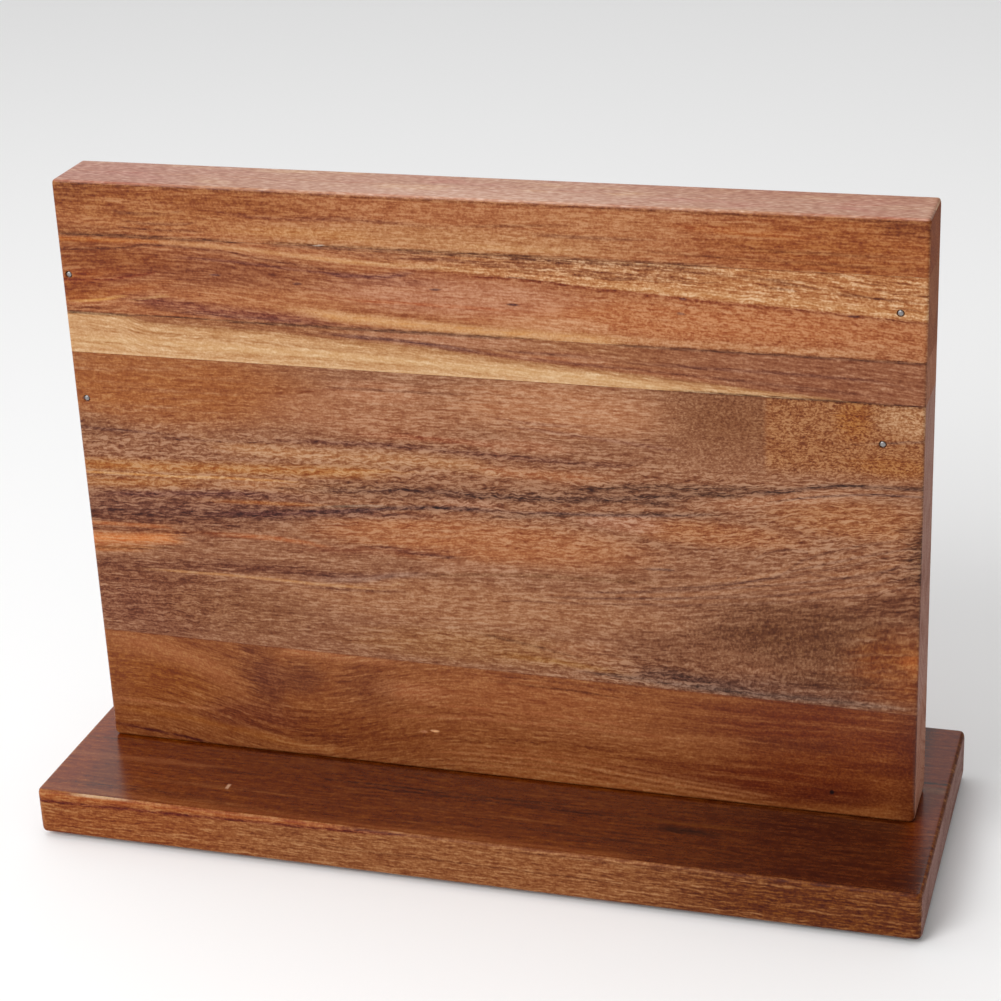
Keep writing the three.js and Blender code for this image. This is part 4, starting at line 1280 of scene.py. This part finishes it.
# ==== Hardware ====
def make_brads():
    steel = metal_material("brad_steel", display(150, 147, 146), display(84, 80, 80), 0.42, 0.8)
    for corner in BRADS:
        node = f"brad_{corner}"
        low, high = box_mm(node)
        head, length = (high.x - low.x) / 2, high.y - low.y
        shank = head * 0.6
        # a low dome, the head's edge, a neck, and a shank that ends in a point
        profile = [
            (0, 0), (head * 0.5, 0.03), (head * 0.85, 0.12), (head * 0.97, 0.24), (head, 0.36),
            (head * 0.96, 0.52), (shank * 1.1, 0.66), (shank, 0.8), (shank, length - 2.0),
            (shank * 0.6, length - 0.9), (shank * 0.2, length - 0.2), (0, length),
        ]
        place = Vector(((low.x + high.x) / 2, low.y, (low.z + high.z) / 2))
        piece = turned(f"{node}_pin", profile, place, Vector((0, 1, 0)))
        keep_flats(piece, angle=40)
        settle(piece, "brad_steel", (steel,), node)


def make_screws():
    zinc = metal_material("screw_zinc", display(226, 206, 150), display(196, 160, 120), 0.3, 1.5)
    for name in SCREWS:
        node = f"screw_{name}"
        low, high = box_mm(node)
        head, length = (high.x - low.x) / 2, high.z - low.z
        shank, core = head / 2, head * 0.35
        smooth_end, thread_end = length * 0.36, length * 0.92
        # a flat head that tapers to a smooth shank, the threaded length and a point
        rows = [
            (0, 0), (head * 0.9, 0), (head, 0.15), (head, 0.4), (shank * 1.1, 2.2),
            (shank, 2.7), (shank, smooth_end),
        ]
        steps = round((thread_end - smooth_end) / THREAD_STEP)
        rows += [(shank, smooth_end + (thread_end - smooth_end) * step / steps) for step in range(1, steps)]
        rows += [(shank * 0.7, thread_end + 1.0), (shank * 0.3, length - 0.6), (0, length)]

        def thread(angle, height, core=core / shank, start=smooth_end, end=thread_end):
            """The share of the radius left between the turns of the thread."""
            if not start < height < end:
                return 1.0
            phase = ((height - start) / THREAD_PITCH - angle / (2 * math.pi)) % 1.0
            ridge = max(0.0, 1 - abs(phase - 0.5) / 0.3)
            fade = min((height - start) / 2, 1.0)
            return 1.0 - (1 - core) * (1 - ridge) * fade

        place = underside(low, high)
        piece = turned(f"{node}_steel", rows, place, wave=thread)
        for turn in (0, 1):
            cut(piece, slot_tool(place, turn))
        keep_flats(piece, angle=40)
        settle(piece, "screw_steel", (zinc,), node)


def slot_tool(place, turn):
    """One arm of the cross recess, narrower at its bottom."""
    points = []
    for height, share in ((-0.5, 1.1), (RECESS_DEPTH, 0.4)):
        for sx, sy in ((-1, -1), (1, -1), (1, 1), (-1, 1)):
            x, y = sx * RECESS_ARM * share, sy * RECESS_HALF_WIDTH * (0.6 + 0.4 * share)
            points.append(place + Vector((y, x, height) if turn else (x, y, height)))
    faces = [(0, 1, 2, 3), (4, 5, 6, 7), (0, 1, 5, 4), (1, 2, 6, 5), (2, 3, 7, 6), (3, 0, 4, 7)]
    return closed_mesh("slot_tool", points, faces)


def make_dowels():
    beech = beech_material()
    for name in ("left", "right"):
        node = f"dowel_{name}"
        low, high = box_mm(node)
        radius, length = (high.x - low.x) / 2, high.z - low.z
        # both ends are chamfered alike
        rows = [(0, 0), (radius * 0.7, 0), (radius * 0.8, 0.3), (radius * 0.97, 1.2), (radius, 2.0)]
        rows += [(radius, length * share) for share in (0.25, 0.5, 0.75)]
        rows += [(r, length - h) for r, h in reversed(rows[:5])]

        def flutes(angle, _height):
            return 1.0 - FLUTE_DEPTH * max(0.0, math.cos(angle * FLUTES))

        piece = turned(f"{node}_peg", rows, underside(low, high), wave=flutes)
        keep_flats(piece, angle=50)
        settle(piece, "dowel_beech", (beech,), node)


def make_feet():
    rubber = rubber_material()
    for row in ("front", "rear"):
        for column in ("left", "right"):
            node = f"foot_{row}_{column}"
            low, high = box_mm(node)
            radius, height = (high.x - low.x) / 2, high.z - low.z
            rows = [(0, 0), (radius * 0.4, 0), (radius - FOOT_EDGE, 0)]
            for step in range(1, ARC_STEPS + 1):
                angle = math.pi / 2 * step / ARC_STEPS
                out, up = math.sin(angle) - 1, 1 - math.cos(angle)
                rows.append((radius + FOOT_EDGE * out, FOOT_EDGE * up))
            rows += [(radius, height * 0.7), (radius - 0.1, height), (0, height)]
            piece = turned(f"{node}_pad", rows, underside(low, high))
            keep_flats(piece, angle=50)
            settle(piece, "foot_rubber", (rubber,), node)


def finish_magnets():
    """The magnets and keeper bars keep their CAD shapes and take new materials."""
    nickel = metal_material("nickel", display(206, 204, 200), display(168, 164, 156), 0.28, 6.0)
    mill_steel = metal_material("mill_steel", display(150, 152, 156), display(104, 104, 108), 0.42, 9.0)
    for name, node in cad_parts.items():
        if name.startswith(("magnet_", "keeper_")):
            node.data.materials.clear()
            node.data.materials.append(nickel if name.startswith("magnet_") else mill_steel)


# ==== The studio ====
def make_camera():
    azimuth, elevation = math.radians(VIEW_AZIMUTH), math.radians(VIEW_ELEVATION)
    back = Vector((math.sin(azimuth) * math.cos(elevation),
                   -math.cos(azimuth) * math.cos(elevation), math.sin(elevation)))
    data = bpy.data.cameras.new("camera")
    data.lens = LENS
    data.sensor_width = SENSOR
    camera = link("camera", data)
    camera.rotation_mode = "QUATERNION"
    roll = Matrix.Rotation(math.radians(VIEW_ROLL), 4, "Z")
    turn = (-back).to_track_quat("-Z", "Y").to_matrix().to_4x4() @ roll
    camera.rotation_quaternion = turn.to_quaternion()
    camera.location = (VIEW_TARGET + back * VIEW_DISTANCE) * MM
    bpy.context.scene.camera = camera


def make_lamp(name, place, aim, size, power):
    data = bpy.data.lights.new(name, "AREA")
    data.shape = "RECTANGLE"
    data.size, data.size_y = size
    data.energy = power
    lamp = link(name, data)
    lamp.location = place
    lamp.rotation_mode = "QUATERNION"
    lamp.rotation_quaternion = (Vector(aim) - Vector(place)).to_track_quat("-Z", "Y")


def make_sky():
    """A white surround, dimmer towards the right."""
    world = bpy.data.worlds.new("studio")
    world.use_nodes = True
    tree = world.node_tree
    parts = tree.nodes.new("ShaderNodeSeparateXYZ")
    tree.links.new(tree.nodes.new("ShaderNodeTexCoord").outputs["Generated"], parts.inputs[0])
    brightness = Field(tree, parts.outputs[0]).rise(0.3, -0.45) * (SKY_LEFT - SKY_RIGHT) + SKY_RIGHT
    background = tree.nodes["Background"]
    background.inputs["Color"].default_value = (1.0, 1.0, 1.0, 1.0)
    feed(tree, background.inputs["Strength"], brightness)
    bpy.context.scene.world = world


def make_floor():
    bpy.ops.mesh.primitive_plane_add(size=FLOOR_SIZE, location=(0, 0, 0))
    floor = bpy.context.object
    floor.name = "floor"
    material = bpy.data.materials.new("floor")
    material.use_nodes = True
    shader = material.node_tree.nodes["Principled BSDF"]
    shader.inputs["Base Color"].default_value = FLOOR_WHITE
    shader.inputs["Roughness"].default_value = 0.9
    floor.data.materials.append(material)


def make_studio():
    bpy.context.scene.view_settings.view_transform = "Standard"
    make_sky()
    make_lamp("key", KEY_PLACE, KEY_AIM, KEY_SIZE, KEY_POWER)
    make_lamp("top", TOP_PLACE, TOP_AIM, TOP_SIZE, TOP_POWER)
    make_floor()


make_board()
make_base()
make_brads()
make_screws()
make_dowels()
make_feet()
finish_magnets()
make_camera()
make_studio()
